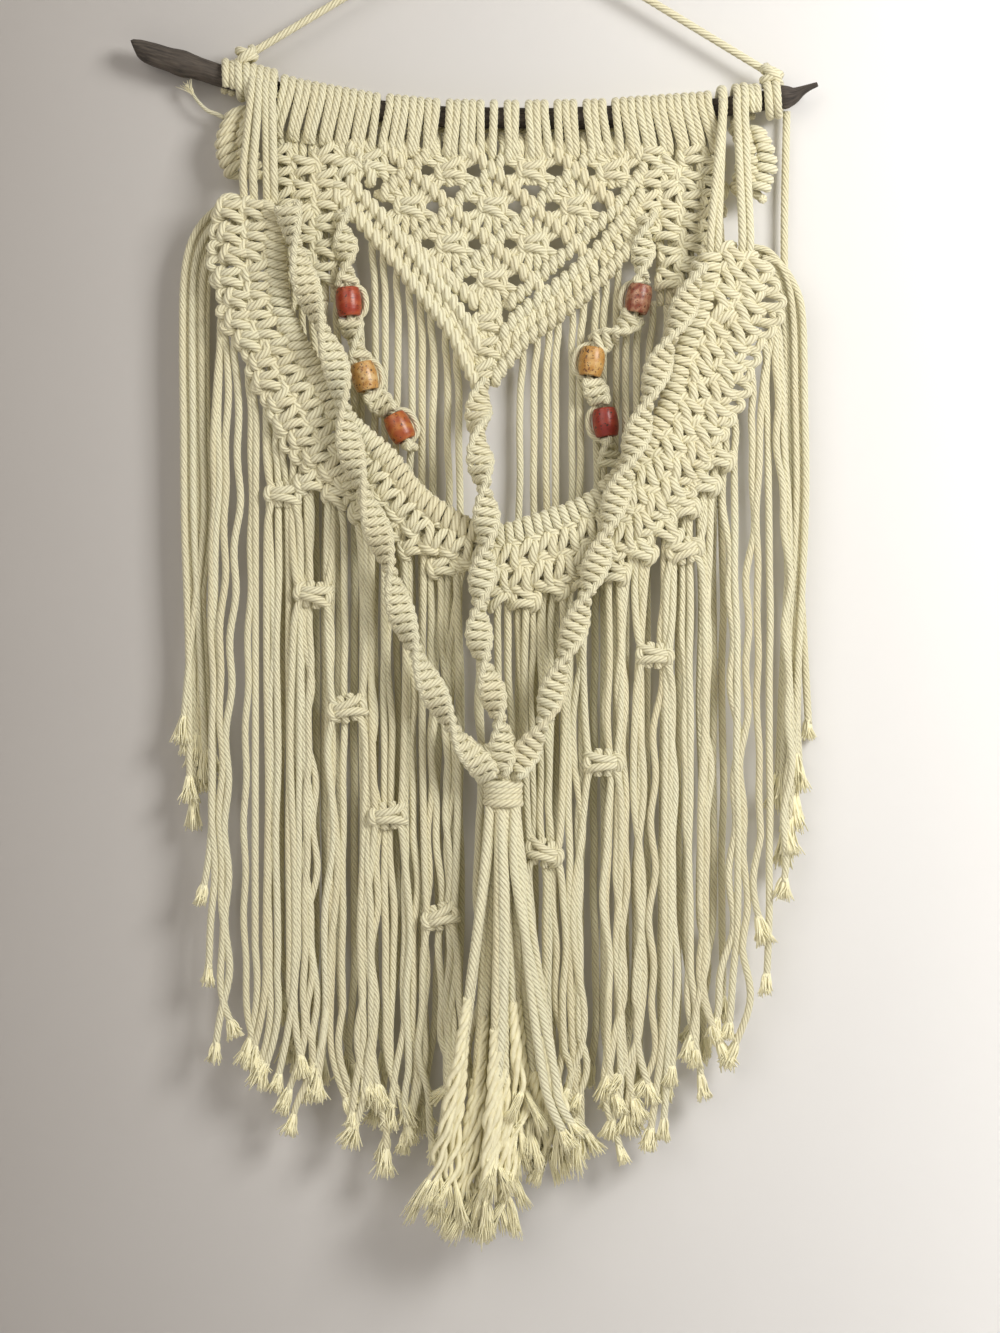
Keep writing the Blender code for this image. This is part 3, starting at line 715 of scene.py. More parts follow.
def outer_lattices():
    """The knotted columns either side of the V."""
    for side, xs, low in (
        ("left", (-108.5, -97.0, -86.0, -76.5), (-168, -200, -196, -146)),
        ("right", (77.0, 87.5, 98.5, 109.0), (-172, -198, -202, -166)),
    ):
        stock = Stock()
        spots, stems = [], []
        for column, (x, foot) in enumerate(zip(xs, low)):
            z = -123.0 - 5.5 * (column % 2)
            while z > foot + 4:
                shift = chance.normal(0, 1.0)
                spots.append(((x + shift, PANEL_Y, z), chance.normal(0, 0.28), column % 2 == 1))
                z -= chance.uniform(10.4, 12.4)
            for stem in (x - 4.6, x - 0.2, x + 4.4):
                middle = (stem + chance.normal(0, 1), 1.0, (foot - 110) / 2)
                stems.append(smooth([(stem, 0.5, -110), middle, (stem, 1.2, foot)]))
        square_knots(stock, spots, 0.84, 2.1, core=False)
        rope(stock, stems, 2.0, step=LOOSE_STEP)
        stock.finish(f"outer_lattice_{side}_knots", COTTON, f"outer_lattice_{side}")


def side_scallops():
    """Hitched edges that bulge outwards beside the branch's ends, and the two cord ends that carry
    each on the branch."""
    for side, sign, top, x0, carriers in (
        ("left", -1, -101.5, -131.0, (-136.4, -132.8)), ("right", 1, -110.6, 131.5, (127.6, 130.4)),
    ):
        stock = Stock()
        for inset, bulge in ((0.4, 4.4), (8.6, 3.0)):
            widest = sign * (bulge - inset)
            line = about((x0, PANEL_Y, top), [
                (-sign * inset, 0, 0), (widest, -1, -10), (widest, -1, -20), (-sign * (inset + 1), 0, -33),
            ])
            wound(stock, line, (0.93, 0, -0.37 * sign), 4.0, 2.6, 4.9, 2.3, 0.3)
        stock.finish(f"side_scallop_{side}_hitches", COTTON, f"side_scallop_{side}")
        stock = Stock()
        rope(stock, [round_branch(x, 0.8, -150, BRANCH_R + 2.3, 0.4, 2.0) for x in carriers], 1.9, ALONG_X)
        stock.finish(f"scallop_heads_{side}_cord", COTTON, f"scallop_heads_{side}")


def sinnet(stock, line, wide, deep, lobe, first, pitch, radius, core):
    """Half-knot spiral: wraps of an ellipse whose long axis makes a half turn each lobe, with its
    edge seen on the front at distance first, and the two edge cords that follow the long axis."""
    ridge = 0.1
    line = np.asarray(line, float)
    far = run(line)
    count = int(far[-1] / pitch * 18)
    spots = even(line, count)
    at = np.linspace(0, far[-1], count)[:, None]
    ahead = unit(np.gradient(spots, axis=0))
    side = unit(np.cross(ahead, FRONT))
    front = np.cross(side, ahead)
    front *= np.sign((front @ FRONT))[:, None]
    turn = np.pi / 2 - np.pi * (at - first) / lobe
    one = side * np.cos(turn) + front * np.sin(turn)
    two = -side * np.sin(turn) + front * np.cos(turn)
    phase = 2 * np.pi * at / pitch
    wraps = spots + one * wide * np.cos(phase) + two * deep * np.sin(phase)
    way = unit(spots[-1] - spots[0])
    rope(stock, [wraps], radius, way)
    hung(stock, [line], core)
    wobble = 0.45 * np.cos(phase)
    edges = [spots + one * (wide + ridge + wobble), spots - one * (wide + ridge - wobble)]
    rope(stock, edges, radius * 0.8, FRONT, lay=10.0)


# Each bead's centre (x, z), the way its bore runs, and its looks: base colour, second colour, vein
# colour, share of specks, and how fine the streaks are
BEADS = {
    "left": {
        "top": [(-74.0, -197.0), (0.08, -1.0), (
            (0.33, 0.04, 0.017, 1), (0.42, 0.085, 0.03, 1), (0.20, 0.02, 0.01, 1), 1.0, 0.8)],
        "middle": [(-66.0, -234.5), (0.25, -1.0), (
            (0.52, 0.27, 0.075, 1), (0.66, 0.45, 0.20, 1), (0.24, 0.08, 0.02, 1), 1.0, 1.1)],
        "bottom": [(-48.5, -260.0), (0.5, -1.0), (
            (0.35, 0.075, 0.02, 1), (0.46, 0.16, 0.035, 1), (0.22, 0.03, 0.01, 1), 0.5, 0.9)],
    },
    "right": {
        "top": [(71.5, -195.5), (-0.2, -1.0), (
            (0.24, 0.06, 0.03, 1), (0.50, 0.27, 0.16, 1), (0.13, 0.03, 0.02, 1), 0.5, 1.4)],
        "middle": [(48.0, -227.0), (-0.15, -1.0), (
            (0.50, 0.25, 0.06, 1), (0.62, 0.39, 0.14, 1), (0.19, 0.065, 0.02, 1), 0.9, 1.2)],
        "bottom": [(55.0, -257.5), (0.12, -1.0), (
            (0.26, 0.022, 0.013, 1), (0.33, 0.04, 0.018, 1), (0.14, 0.012, 0.01, 1), 1.0, 0.8)],
    },
}
# Where each sinnet starts, its first bend, its bend between the first two beads, and its end
BEAD_BENDS = {
    "left": [(-78.5, -151.0), (-75.5, -169.0), (-71.0, -216.0), (-42.5, -271.0)],
    "right": [(75.0, -153.0), (73.6, -174.5), (63.0, -211.0), (57.5, -279.0)],
}


def bead(name, centre, way, looks):
    """Barrel turned about its bore: a rounded outside, softened rims and a straight hole."""
    half, bore = BEAD_HALF, BORE_R
    out = np.linspace(-1, 1, 22)
    shell_r = BEAD_R * (1 - 0.13 * np.abs(out) ** 2.6)
    rim = np.radians(np.linspace(20, 90, 5))
    soft = 1.1
    low = [(shell_r[0] - soft + soft * math.cos(a), -half + soft - soft * math.sin(a)) for a in rim[::-1]]
    side = list(zip(shell_r, out * (half - soft)))
    high = [(shell_r[-1] - soft + soft * math.cos(a), half - soft + soft * math.sin(a)) for a in rim]
    hole = [(bore + 0.3, half), (bore, half - 0.5), (bore, 0.0), (bore, 0.5 - half), (bore + 0.3, -half)]
    profile = np.array(low + side + high + hole)
    s = 40
    angle = circle(s)
    middle = flat([centre], SINNET_Y)
    ahead = unit(flat([way], 0.0)[0])
    ring = np.cos(angle)[:, None] * FRONT + np.sin(angle)[:, None] * np.cross(ahead, FRONT)
    grid = middle + profile[:, 1][:, None, None] * ahead + profile[:, 0][:, None, None] * ring
    stock = Stock()
    n = len(profile)
    ids = np.arange(n * s).reshape(n, s)
    after, under = np.roll(ids, -1, 1), np.roll(ids, -1, 0)
    both = np.roll(after, -1, 0)
    stock.points.append(grid.reshape(-1, 3))
    stock.faces.append(np.stack([ids, after, both, under], -1).reshape(-1, 4))
    u = np.broadcast_to((profile[:, 1] / half)[:, None], (n, s))
    v = np.broadcast_to(np.arange(s) / s, (n, s))
    step = 1 / s
    un = np.roll(u, -1, 0)
    corners = [(u, v), (u, v + step), (un, v + step), (un, v)]
    stock.values.append(np.stack([np.stack(c, -1) for c in corners], -2).reshape(-1, 4, 2))
    stock.total = n * s
    stock.finish(f"{name}_barrel", bead_coat(f"{name}_paint", *looks), name)


def beaded_sinnets():
    """The two spiral sinnets with beads: each part of a sinnet stops short of a bead, and two thin
    cords go on, one through the bore and one round the outside."""
    for side, places in BEADS.items():
        stock = Stock()
        start, top, bend, end = (np.array(p) for p in BEAD_BENDS[side])
        ways = [unit(np.array(way)) for _, way, _ in places.values()]
        mids = [np.array(middle) for middle, _, _ in places.values()]
        gap = 8.2
        parts = [
            [start, top, mids[0] - ways[0] * gap],
            [mids[0] + ways[0] * gap, bend, mids[1] - ways[1] * gap],
            [mids[1] + ways[1] * gap, mids[2] - ways[2] * gap],
            [mids[2] + ways[2] * gap, end],
        ]
        for number, part in enumerate(parts):
            line = smooth(flat(part, SINNET_Y), 8)
            sinnet(stock, line, 4.8, 1.6, 21.0, 8.0 + 5 * number, 4.5, 2.0, 1.9)
        for middle, way in zip(mids, ways):
            before, after = middle - way * 10, middle + way * 10
            rope(stock, [flat([before, after], SINNET_Y)], 1.45, FRONT)
            beside = np.array([-way[1], way[0]]) * (7.7 if side == "left" else -7.7)
            by = flat([before, middle - way * 5 + beside, middle + way * 5 + beside, after], SINNET_Y + 2.2)
            rope(stock, [smooth(by)], 1.5)
        stock.finish(f"beaded_sinnet_{side}_knots", COTTON, f"beaded_sinnet_{side}")
        for place, made in places.items():
            bead(f"bead_{side}_{place}", *made)


# ---------------------------------------------------------------- front layer

# The swag's two edges, from its left top to its right top, as (x, z)
SWAG_INNER = [
    (-109, -149), (-106, -167), (-103, -197), (-97, -213), (-85.5, -232), (-70.5, -255), (-51, -273),
    (-35.5, -292), (-15, -306), (1, -310), (22, -304), (34, -300), (48, -293), (61, -280), (80, -252),
    (88, -226), (97, -201), (101, -184), (103, -166),
]
SWAG_OUTER = [
    (-124, -135), (-138, -151), (-143, -172), (-137, -204), (-124, -230), (-105, -274), (-78, -292),
    (-52, -308), (-33, -322), (8, -342), (37, -334), (62, -327), (82, -312), (102, -287), (122, -252),
    (134, -222), (144, -206), (138, -184), (127, -166),
]


class Band:
    """The swag's surface: a place along it, from its left top to its right top, and a place across,
    from its inner edge to its outer one, give a point."""

    def __init__(self):
        count = 400
        self.inner = even(smooth(flat(SWAG_INNER, 0.0), 8), count)
        self.outer = even(smooth(flat(SWAG_OUTER, 0.0), 8), count)
        self.share = np.linspace(0, 1, count)

    def at(self, along, across, y):
        """The point, with its depth set to y."""
        along, across = np.broadcast_arrays(np.asarray(along, float), np.asarray(across, float))
        inner, outer = read(self.inner, self.share, along), read(self.outer, self.share, along)
        spot = inner + (outer - inner) * across[..., None]
        spot[..., 1] = y
        return spot

    def outward(self, along):
        """The way from the inner edge to the outer one."""
        return unit(self.at(along, 1.0, 0.0) - self.at(along, 0.0, 0.0))


band = Band()


def swag():
    """The swag in two halves: hitched bars along the inner edge, two staggered rows of square knots,
    loops out to the outer edge, and small knots with openings between them just below it."""
    knot_pitch, loop_pitch, edge_pitch = 10.6, 7.4, 13.6
    for side, first, last in (("left", 0.015, 0.5), ("right", 0.5, 0.985)):
        stock, mirror = Stock(), side == "right"
        s = np.linspace(first, last, 120)
        width = np.linalg.norm(band.at(s, 1.0, 0) - band.at(s, 0.0, 0), axis=1)
        out = band.outward(s)
        sign = -1.0 if mirror else 1.0
        line = band.at(s, np.clip(4.9 / width, 0, 0.3), SWAG_Y - 1.0)
        wound(stock, line, out * sign, 4.2, 2.8, 4.75, 2.25, 0.1)
        carrying = ((0.06, 1.0), (0.45, 1.5), (0.62, 1.5))
        hung(stock, [band.at(s, across, SWAG_Y + deep) for across, deep in carrying], 2.2)
        length = run(band.at(s, 0.6, 0.0))
        spots = []
        for inset, shift, rise in ((15.2, 0.0, 0.6), (26.5, 5.2, 0.2)):
            for far in np.arange(5.0 + shift, length[-1] - 2.0, knot_pitch):
                t = np.interp(far, length, s)
                wide = np.interp(t, s, width)
                if inset > wide - 3.0:
                    continue
                way = -band.outward(np.array([t]))[0]
                turn = math.atan2(way[2], way[0]) + chance.normal(0, 0.2)
                if mirror:
                    turn = turn % (2 * math.pi) - math.pi
                    turn -= math.copysign(math.pi, turn)
                spot = band.at(t, min(inset + chance.normal(0, 1.1), wide - 4.5) / wide, SWAG_Y - rise)
                spots.append((spot, 0.8 * turn, mirror))
        square_knots(stock, spots, 0.92, 2.2, core=False)
        links = []
        for far in np.arange(4.0, length[-1] - 9.0, loop_pitch):
            t = np.interp([far, far + 0.5, far + 3.5, far + 6.5, far + 7.0], length, s)
            reach = np.array([0.62, 0.9, 0.99 + chance.normal(0, 0.03), 0.9, 0.62])
            loop = band.at(t, reach, SWAG_Y + 1.4)
            loop[:, 1] += (0.4, -0.6, -1.0, 0.2, 1.2)
            links.append(smooth(loop, 5))
        rope(stock, links, 2.05)
        edge = []
        lowest_way = -0.55
        for far in np.arange(9.0, length[-1] - 6.0, edge_pitch):
            t = np.interp(far + chance.normal(0, 0.8), length, s)
            if band.outward(np.array([t]))[0, 2] > lowest_way:
                continue
            beyond = 1 + (3.6 + chance.normal(0, 0.9)) / np.interp(t, s, width)
            edge.append((band.at(t, beyond, SWAG_Y + 1.6), chance.normal(0.12 * sign, 0.3), mirror))
        square_knots(stock, edge, 0.84, 2.1, core=False)
        stock.finish(f"swag_{side}_knots", COTTON, f"swag_{side}")


# How low each side's cords reach, and for each pair its two x on the branch and its two x below
CARRIED = {
    "left": (-137.0, {
        "outer": [(-122.2, -118.6), (-125.6, -120.6)], "inner": [(-115.2, -112.0), (-114.0, -110.4)]}),
    "right": (-168.0, {
        "outer": [(124.4, 120.6), (126.4, 122.4)], "inner": [(113.6, 113.2), (110.6, 106.8)]}),
}


def suspension():
    """The cords that carry the swag, and their loops round the branch."""
    for side, (foot, pairs) in CARRIED.items():
        loops = Stock()
        spread = []
        for name, (tops, feet) in pairs.items():
            stock = Stock()
            lines = []
            for number, (x, low) in enumerate(zip(tops, feet)):
                axis = branch_at(x)
                lines.append(smooth([
                    (x, -9.0, axis + 1.0), (x, -10.4, axis - 5),
                    (x + (low - x) * 0.5, -12.6 - number, (axis + foot) / 2),
                    (low, SWAG_Y - 2.2 - number, foot + 4), (low, SWAG_Y - 1.0, foot - 5),
                    (low, SWAG_Y + 1.5, foot - 12),
                ]))
                spread.append(round_branch(x, 0.82, -165, BRANCH_R + 3.4, 0.2, 0.5))
            hung(stock, lines, 2.0)
            stock.finish(f"suspension_{name}_{side}_pair", COTTON, f"suspension_{name}_{side}")
        rope(loops, spread, CORD_R, ALONG_X)
        loops.finish(f"suspension_loop_{side}_cord", COTTON, f"suspension_loop_{side}")


# Each spiral's route, the length of its lobes, and where its edge first faces the front
SPIRALS = {
    "spiral_left": ([
        (-103, -152), (-99, -172), (-91, -200), (-80, -228), (-75, -255), (-70, -280), (-61, -305),
        (-53, -330), (-46, -356), (-33, -388), (-18, -416), (-9.5, -426), (-3, -435)], 42.0, 105.0),
    "spiral_right": ([
        (101, -182), (92, -205), (80, -233), (70, -265), (60, -295), (51, -325), (42, -352), (31, -383),
        (23.5, -407), (16.5, -420), (9, -434)], 33.5, 39.0),
    "spiral_centre": ([
        (-7, -238), (-9, -258), (-7.5, -280), (-5, -300), (-5, -322), (-8, -345), (-8, -368), (-2, -392),
        (2.5, -410), (3.2, -421), (3.4, -434)], 29.0, 2.0),
}


def spirals():
    """The three spiral sinnets. The centre one starts at the V's tip, in the back layer, and comes
    forward to the others."""
    for name, (route, lobe, first) in SPIRALS.items():
        start_y = PANEL_Y if name == "spiral_centre" else SPIRAL_Y
        ys = [start_y + (SPIRAL_Y - start_y) * min(1.0, (z - route[0][1]) / -46.0) for _, z in route]
        line = smooth(flat(route, ys), 8)
        stock = Stock()
        sinnet(stock, line, 5.2, 1.7, lobe, first, 4.7, 2.1, 1.9)
        if name == "spiral_centre":
            made = stock.finish(f"{name}_knots", COTTON, name, body="")
            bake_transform(made)
        else:
            stock.finish(f"{name}_knots", COTTON, name)


def gathering():
    """Turns of cord bound round the ends of the three spirals."""
    stock = Stock()
    turns = 4.2
    t = np.linspace(0, 1, 130)
    angle = 2 * np.pi * turns * t + 0.6
    reach = 7.6 - 0.6 * np.sin(np.pi * t)
    line = np.stack([
        WRAP_X + reach * 1.08 * np.cos(angle), GATHER_Y + reach * 0.86 * np.sin(angle),
        WRAP_TOP - 2.0 - (WRAP_HEIGHT - 4.0) * t + 0.5 * np.cos(angle),
    ], 1)
    rope(stock, [line], 2.15, UPWARD)
    starts = ((-14, -419), (-11, -424), (-4, -422), (3, -420), (8, -421), (16, -420), (20, -416), (0, -426))
    leads = [
        smooth([
            (x, SPIRAL_Y + 1.0, z + 4), (x * 0.75 + 0.9, SPIRAL_Y + 1.5, z - 4),
            (x * 0.35 + 2.5, GATHER_Y - 3, -437), (x * 0.25 + 2.8, GATHER_Y - 2, -452),
        ]) for x, z in starts
    ]
    rope(stock, leads)
    stock.finish("gathering_wrap_turns", COTTON, "gathering_wrap")


# ---------------------------------------------------------------- hanging strands

# The line that the fringe's ends follow, as (x, z)
FOOT = np.array([
    (-152, -506), (-146, -512), (-139, -556), (-130, -572), (-113, -578), (-95, -590), (-70, -600),
    (-50, -608), (-30, -610), (0, -600), (30, -600), (60, -602), (76, -596), (92, -586), (106, -572),
    (126, -564), (134, -540), (140, -505), (152, -470),
], float)


def foot_z(x):
    """Height that a fringe cord at x reaches down to."""
    return np.interp(x, FOOT[:, 0], FOOT[:, 1])


def hanging_lines(tops, foot_xs, foot_zs, y, sway, arch, start_y):
    """Lines that hang from tops: each eases from its top's x to its foot's x, wanders sideways by
    three slow waves and in depth by one, first arches outwards, and starts at depth start_y."""
    lines = []
    for (x0, z0), x1, z1 in zip(tops, foot_xs, foot_zs):
        t = np.linspace(0, 1, 64)
        drop = z0 - z1
        ease = 1 - np.exp(-t * drop / 28.0)
        a, b = chance.normal(0, sway, 2)
        p, q = chance.uniform(0, 6.28, 2)
        x = x0 + (x1 - x0) * (0.8 * ease + 0.2 * t)
        waves = a * np.sin(2.1 * t * drop / 160 + p) + 0.4 * b * np.sin(2 * np.pi * t * drop / 95 + q)
        x += (waves + 0.3 * a * np.sin(2 * np.pi * t * drop / 47 + q)) * np.minimum(1, 4 * t)
        bow = arch * np.exp(-((t * drop - 9) / 9.0) ** 2)
        depth = y + chance.uniform(-1.3, 1.3) + 0.7 * np.sin(2 * np.pi * t * drop / 210 + q)
        depth = depth + (start_y - depth) * np.exp(-t * drop / 12.0)
        lines.append(np.stack([x + bow, depth, z0 - drop * t], 1))
    return lines


def ended(lines):
    """Each line with its last part pulled aside a little, as cut cords splay."""
    out = []
    for line in lines:
        t = np.linspace(0, 1, len(line))
        line = line.copy()
        late = np.clip((t - 0.86) / 0.14, 0, 1)
        line[:, 0] += chance.uniform(-8.5, 8.5) * late**2 + chance.normal(0, 2.0) * np.sin(np.pi * late)
        out.append(line)
    return out


def frayed_cords(stock, lines, name, brush, node, radius=FREE_R, long=FRAY, spread=SPREAD, replaces=True):
    """Adds the lines to stock as free cords and makes it a piece, with their frayed ends as another.
    Returns the two pieces and the cords' paths."""
    ends = Stock()
    path = hung(stock, lines, radius)
    frayed(ends, *end_of(path), long, spread)
    cords = stock.finish(name, COTTON, node, replaces=replaces)
    return cords, ends.finish(brush, FIBRE, node, replaces=False), path


def strand_pieces(name, lines, free=()):
    """A group of fringe cords with frayed ends: those numbered in free are pieces of their own."""
    lines = ended(lines)
    kept = [line for i, line in enumerate(lines) if i not in free]
    frayed_cords(Stock(), kept, f"{name}_cords", f"{name}_ends", name)
    for i in free:
        single(f"{name}_{i:02d}", lines[i], name)


def single(name, line, node, radius=FREE_R, long=FRAY, spread=SPREAD, replaces=False):
    """One free cord with its own frayed end."""
    cord, brush, path = frayed_cords(
        Stock(), [line], name, f"{name}_end", node, radius, long, spread, replaces,
    )


# Each group of fringe cords, from its first x to its last. The back ones also have the edge that
# they hang from.
FRONT_GROUPS = [
    ("left_outer", -147.0, -108.0), ("left_middle", -106.0, -56.0), ("left_inner", -54.0, -21.0),
    ("centre", -19.0, 21.0), ("right_inner", 23.0, 52.0), ("right_middle", 54.0, 95.0),
    ("right_outer", 97.0, 148.0),
]
BACK_GROUPS = [
    ("left_outer", -113.0, -68.0, [(-113, -200), (-90, -200), (-66, -196)]),
    ("left_inner", -61.5, -19.0, [(-72, -152), (-56.5, -169), (-40, -189), (-23.5, -210), (-17, -224)]),
    ("right_inner", 13.0, 60.0, [(8, -224), (16, -214.5), (44.5, -193), (62, -175), (70, -166)]),
    ("right_outer", 66.0, 115.0, [(66, -196), (88, -202), (114, -178)]),
]


def outer_edge_z(x):
    """Height of the swag's outer edge at x."""
    edge = np.array(SWAG_OUTER[2:-2], float)
    return np.interp(x, edge[:, 0], edge[:, 1])


def front_fringe():
    """Cords that hang from the swag's outer edge. Every third one is a piece of its own, up to four
    in a group."""
    apart = 5.7
    for place, x0, x1 in FRONT_GROUPS:
        count = int(round((x1 - x0) / apart)) + 1
        xs = np.linspace(x0, x1, count) + chance.normal(0, 1.0, count)
        inside = np.clip(xs, -134.0, 137.0)
        tops = np.stack([inside, outer_edge_z(inside) + 7.0 + 0.6 * np.abs(xs - inside)], 1)
        feet = foot_z(xs) + chance.normal(0, 9, count)
        lines = hanging_lines(
            tops, xs + chance.normal(0, 3.4, count), feet, FRONT_FRINGE_Y, 2.4,
            arch=1.6 * np.sign(x0 + x1), start_y=SWAG_Y + 1.0,
        )
        strand_pieces(f"front_fringe_{place}", lines, list(range(1, count, 3))[:4])


def back_fringe():
    """Cords that hang from the lower edges of the back layer, behind the swag."""
    apart = 5.9
    for place, x0, x1, edge in BACK_GROUPS:
        count = int(round((x1 - x0) / apart)) + 1
        xs = np.linspace(x0, x1, count) + chance.normal(0, 0.5, count)
        edge = np.array(edge, float)
        tops = np.stack([xs, np.interp(xs, edge[:, 0], edge[:, 1]) + 3.0], 1)
        feet = foot_z(xs) + 12 + chance.normal(0, 9, count)
        lines = hanging_lines(
            tops, xs + chance.normal(0, 1.0, count), feet, BACK_FRINGE_Y, 0.8,
            arch=1.5 * np.sign(x0 + x1), start_y=PANEL_Y,
        )
        strand_pieces(f"back_fringe_{place}", lines)


# Where the small knots in the fringe sit, as (x, z)
FRINGE_KNOTS = {
    "left": [(-106.5, -294), (-91.5, -344), (-74.5, -401), (-54, -454.5), (-28, -505)],
    "right": [(94.5, -322), (79.5, -374.5), (54, -428), (24, -473)],
}


def fringe_knots():
    """Square knots in the fringe. Two cords of each come in from the swag's edge, pass through the
    knot and hang on below it with frayed ends."""
    places = [(side, i, x, z) for side, spots in FRINGE_KNOTS.items() for i, (x, z) in enumerate(spots, 1)]
    for side, i, x, z in places:
        name, stock = f"fringe_knot_{side}_{i}", Stock()
        knot = (x, TIED_Y, z), chance.normal(0, 0.25), side == "right"
        square_knots(stock, [knot], (1.16, 0.72, 0.9))
        above, below = [], []
        for a in (-1, 1):
            out = a * chance.uniform(8.0, 10.5)
            top = outer_edge_z(x + out) + 6.0
            foot = foot_z(x + out) + chance.normal(0, 12)
            rise, drop, inner = top - z, foot - z + 24, a * 4.0
            above.append(about((x, TIED_Y, z), [
                (out * 0.9, SWAG_Y + 1.5 - TIED_Y, rise), (out * 1.05, 2.1, 0.66 * rise),
                (out, 1.6, 0.33 * rise), (out * 0.8, 0.6, 6.0), (inner, 0.0, 1.5),
            ]))
            below.append(about((x, TIED_Y, z), [
                (inner, 0.0, -1.5), (out * 0.8, 0.6, -7.0), (out, 1.8, -24.0),
                *[(out + chance.normal(0, 1.6), 2.6, t * drop - 24.0) for t in (0.25, 0.5, 0.75, 1)],
            ]))
        hung(stock, above)
        frayed_cords(stock, ended(below), f"{name}_cord", f"{name}_ends", name)


# Each bunch's route from the swag's corner, and the feet of its cords
BUNCHES = {
    "left": (
        [(-128, -147), (-138, -151), (-148, -163), (-153, -182), (-154, -215), (-153.5, -260), (-153, -310)],
        [(-154, -437), (-149, -431), (-146, -424), (-152, -418), (-157, -407)]),
    "right": (
        [(130, -169), (139, -172), (147, -184), (150.5, -205), (151.5, -245), (152, -300)],
        [(147, -459), (151, -446), (144, -436), (153, -430)]),
}
BUNCH_FRAY = 15.0


def side_bunches():
    """Cords that loop outwards from the swag's upper corners: one for each foot, and another close
    beside it."""
    for side, (route, feet) in BUNCHES.items():
        node = f"side_bunch_{side}"
        sign = -1 if side == "left" else 1
        more = []
        for number, (x, z) in enumerate(feet):
            shift = (number - 1.5) * 2.7
            drop = abs(shift) * 1.4 * (shift * sign < 0)
            ahead = [(px - sign * shift * 0.9, pz - drop * (i < 3)) for i, (px, pz) in enumerate(route)]
            last = ahead[-1]
            ahead += [((last[0] + x) / 2 + chance.normal(0, 1), (last[1] + z) / 2), (x, z)]
            y = BUNCH_Y + (2.2 if number % 2 else -2.2)
            line = smooth(flat(ahead, y), 8)
            single(f"{node}_{number}", line, node, FREE_R, BUNCH_FRAY, replaces=True)
            beside = line + [-sign * 1.9, -1.6 if number % 2 else 2.4, 0.0]
            beside[:, 2] -= np.linspace(0, 1, len(line)) ** 3 * chance.uniform(-14, 16)
            more.append(beside)
        frayed_cords(Stock(), more, f"{node}_more", f"{node}_more_ends", node, long=BUNCH_FRAY)


def free_ends():
    """The hanging cord's tail, and the stray cord end behind the branch."""
    tail_x, tail_top, tail_length = 147.2, -99.0, 310.0
    bows = ((0.0, 0.0), (-1.2, 0.2), (-0.4, 0.4), (3.5, 0.6), (7.5, 0.8), (11.0, 1.0))
    tail = smooth(flat([(tail_x + bow, tail_top - share * tail_length) for bow, share in bows], TAIL_Y), 8)
    single("hanging_cord_tail_laid", tail, "hanging_cord_tail", TAIL_R, 12.0, 0.3, replaces=True)
    stray = smooth(flat([(-137, -103), (-141, -101), (-146, -99), (-151, -94), (-154, -89)], STRAY_Y), 6)
    stock, end = Stock(), Stock()
    path = rope(stock, [stray], 1.15, FRONT, lay=12.0, taper=([0, 1], [1, 0.6]))
    frayed(end, *end_of(path), long=7.0, spread=0.8, count=18, root=0.8, thick=0.3)
    stock.finish("stray_cord_laid", COTTON, "stray_cord_end")
    end.finish("stray_cord_fray", FIBRE, "stray_cord_end", replaces=False)


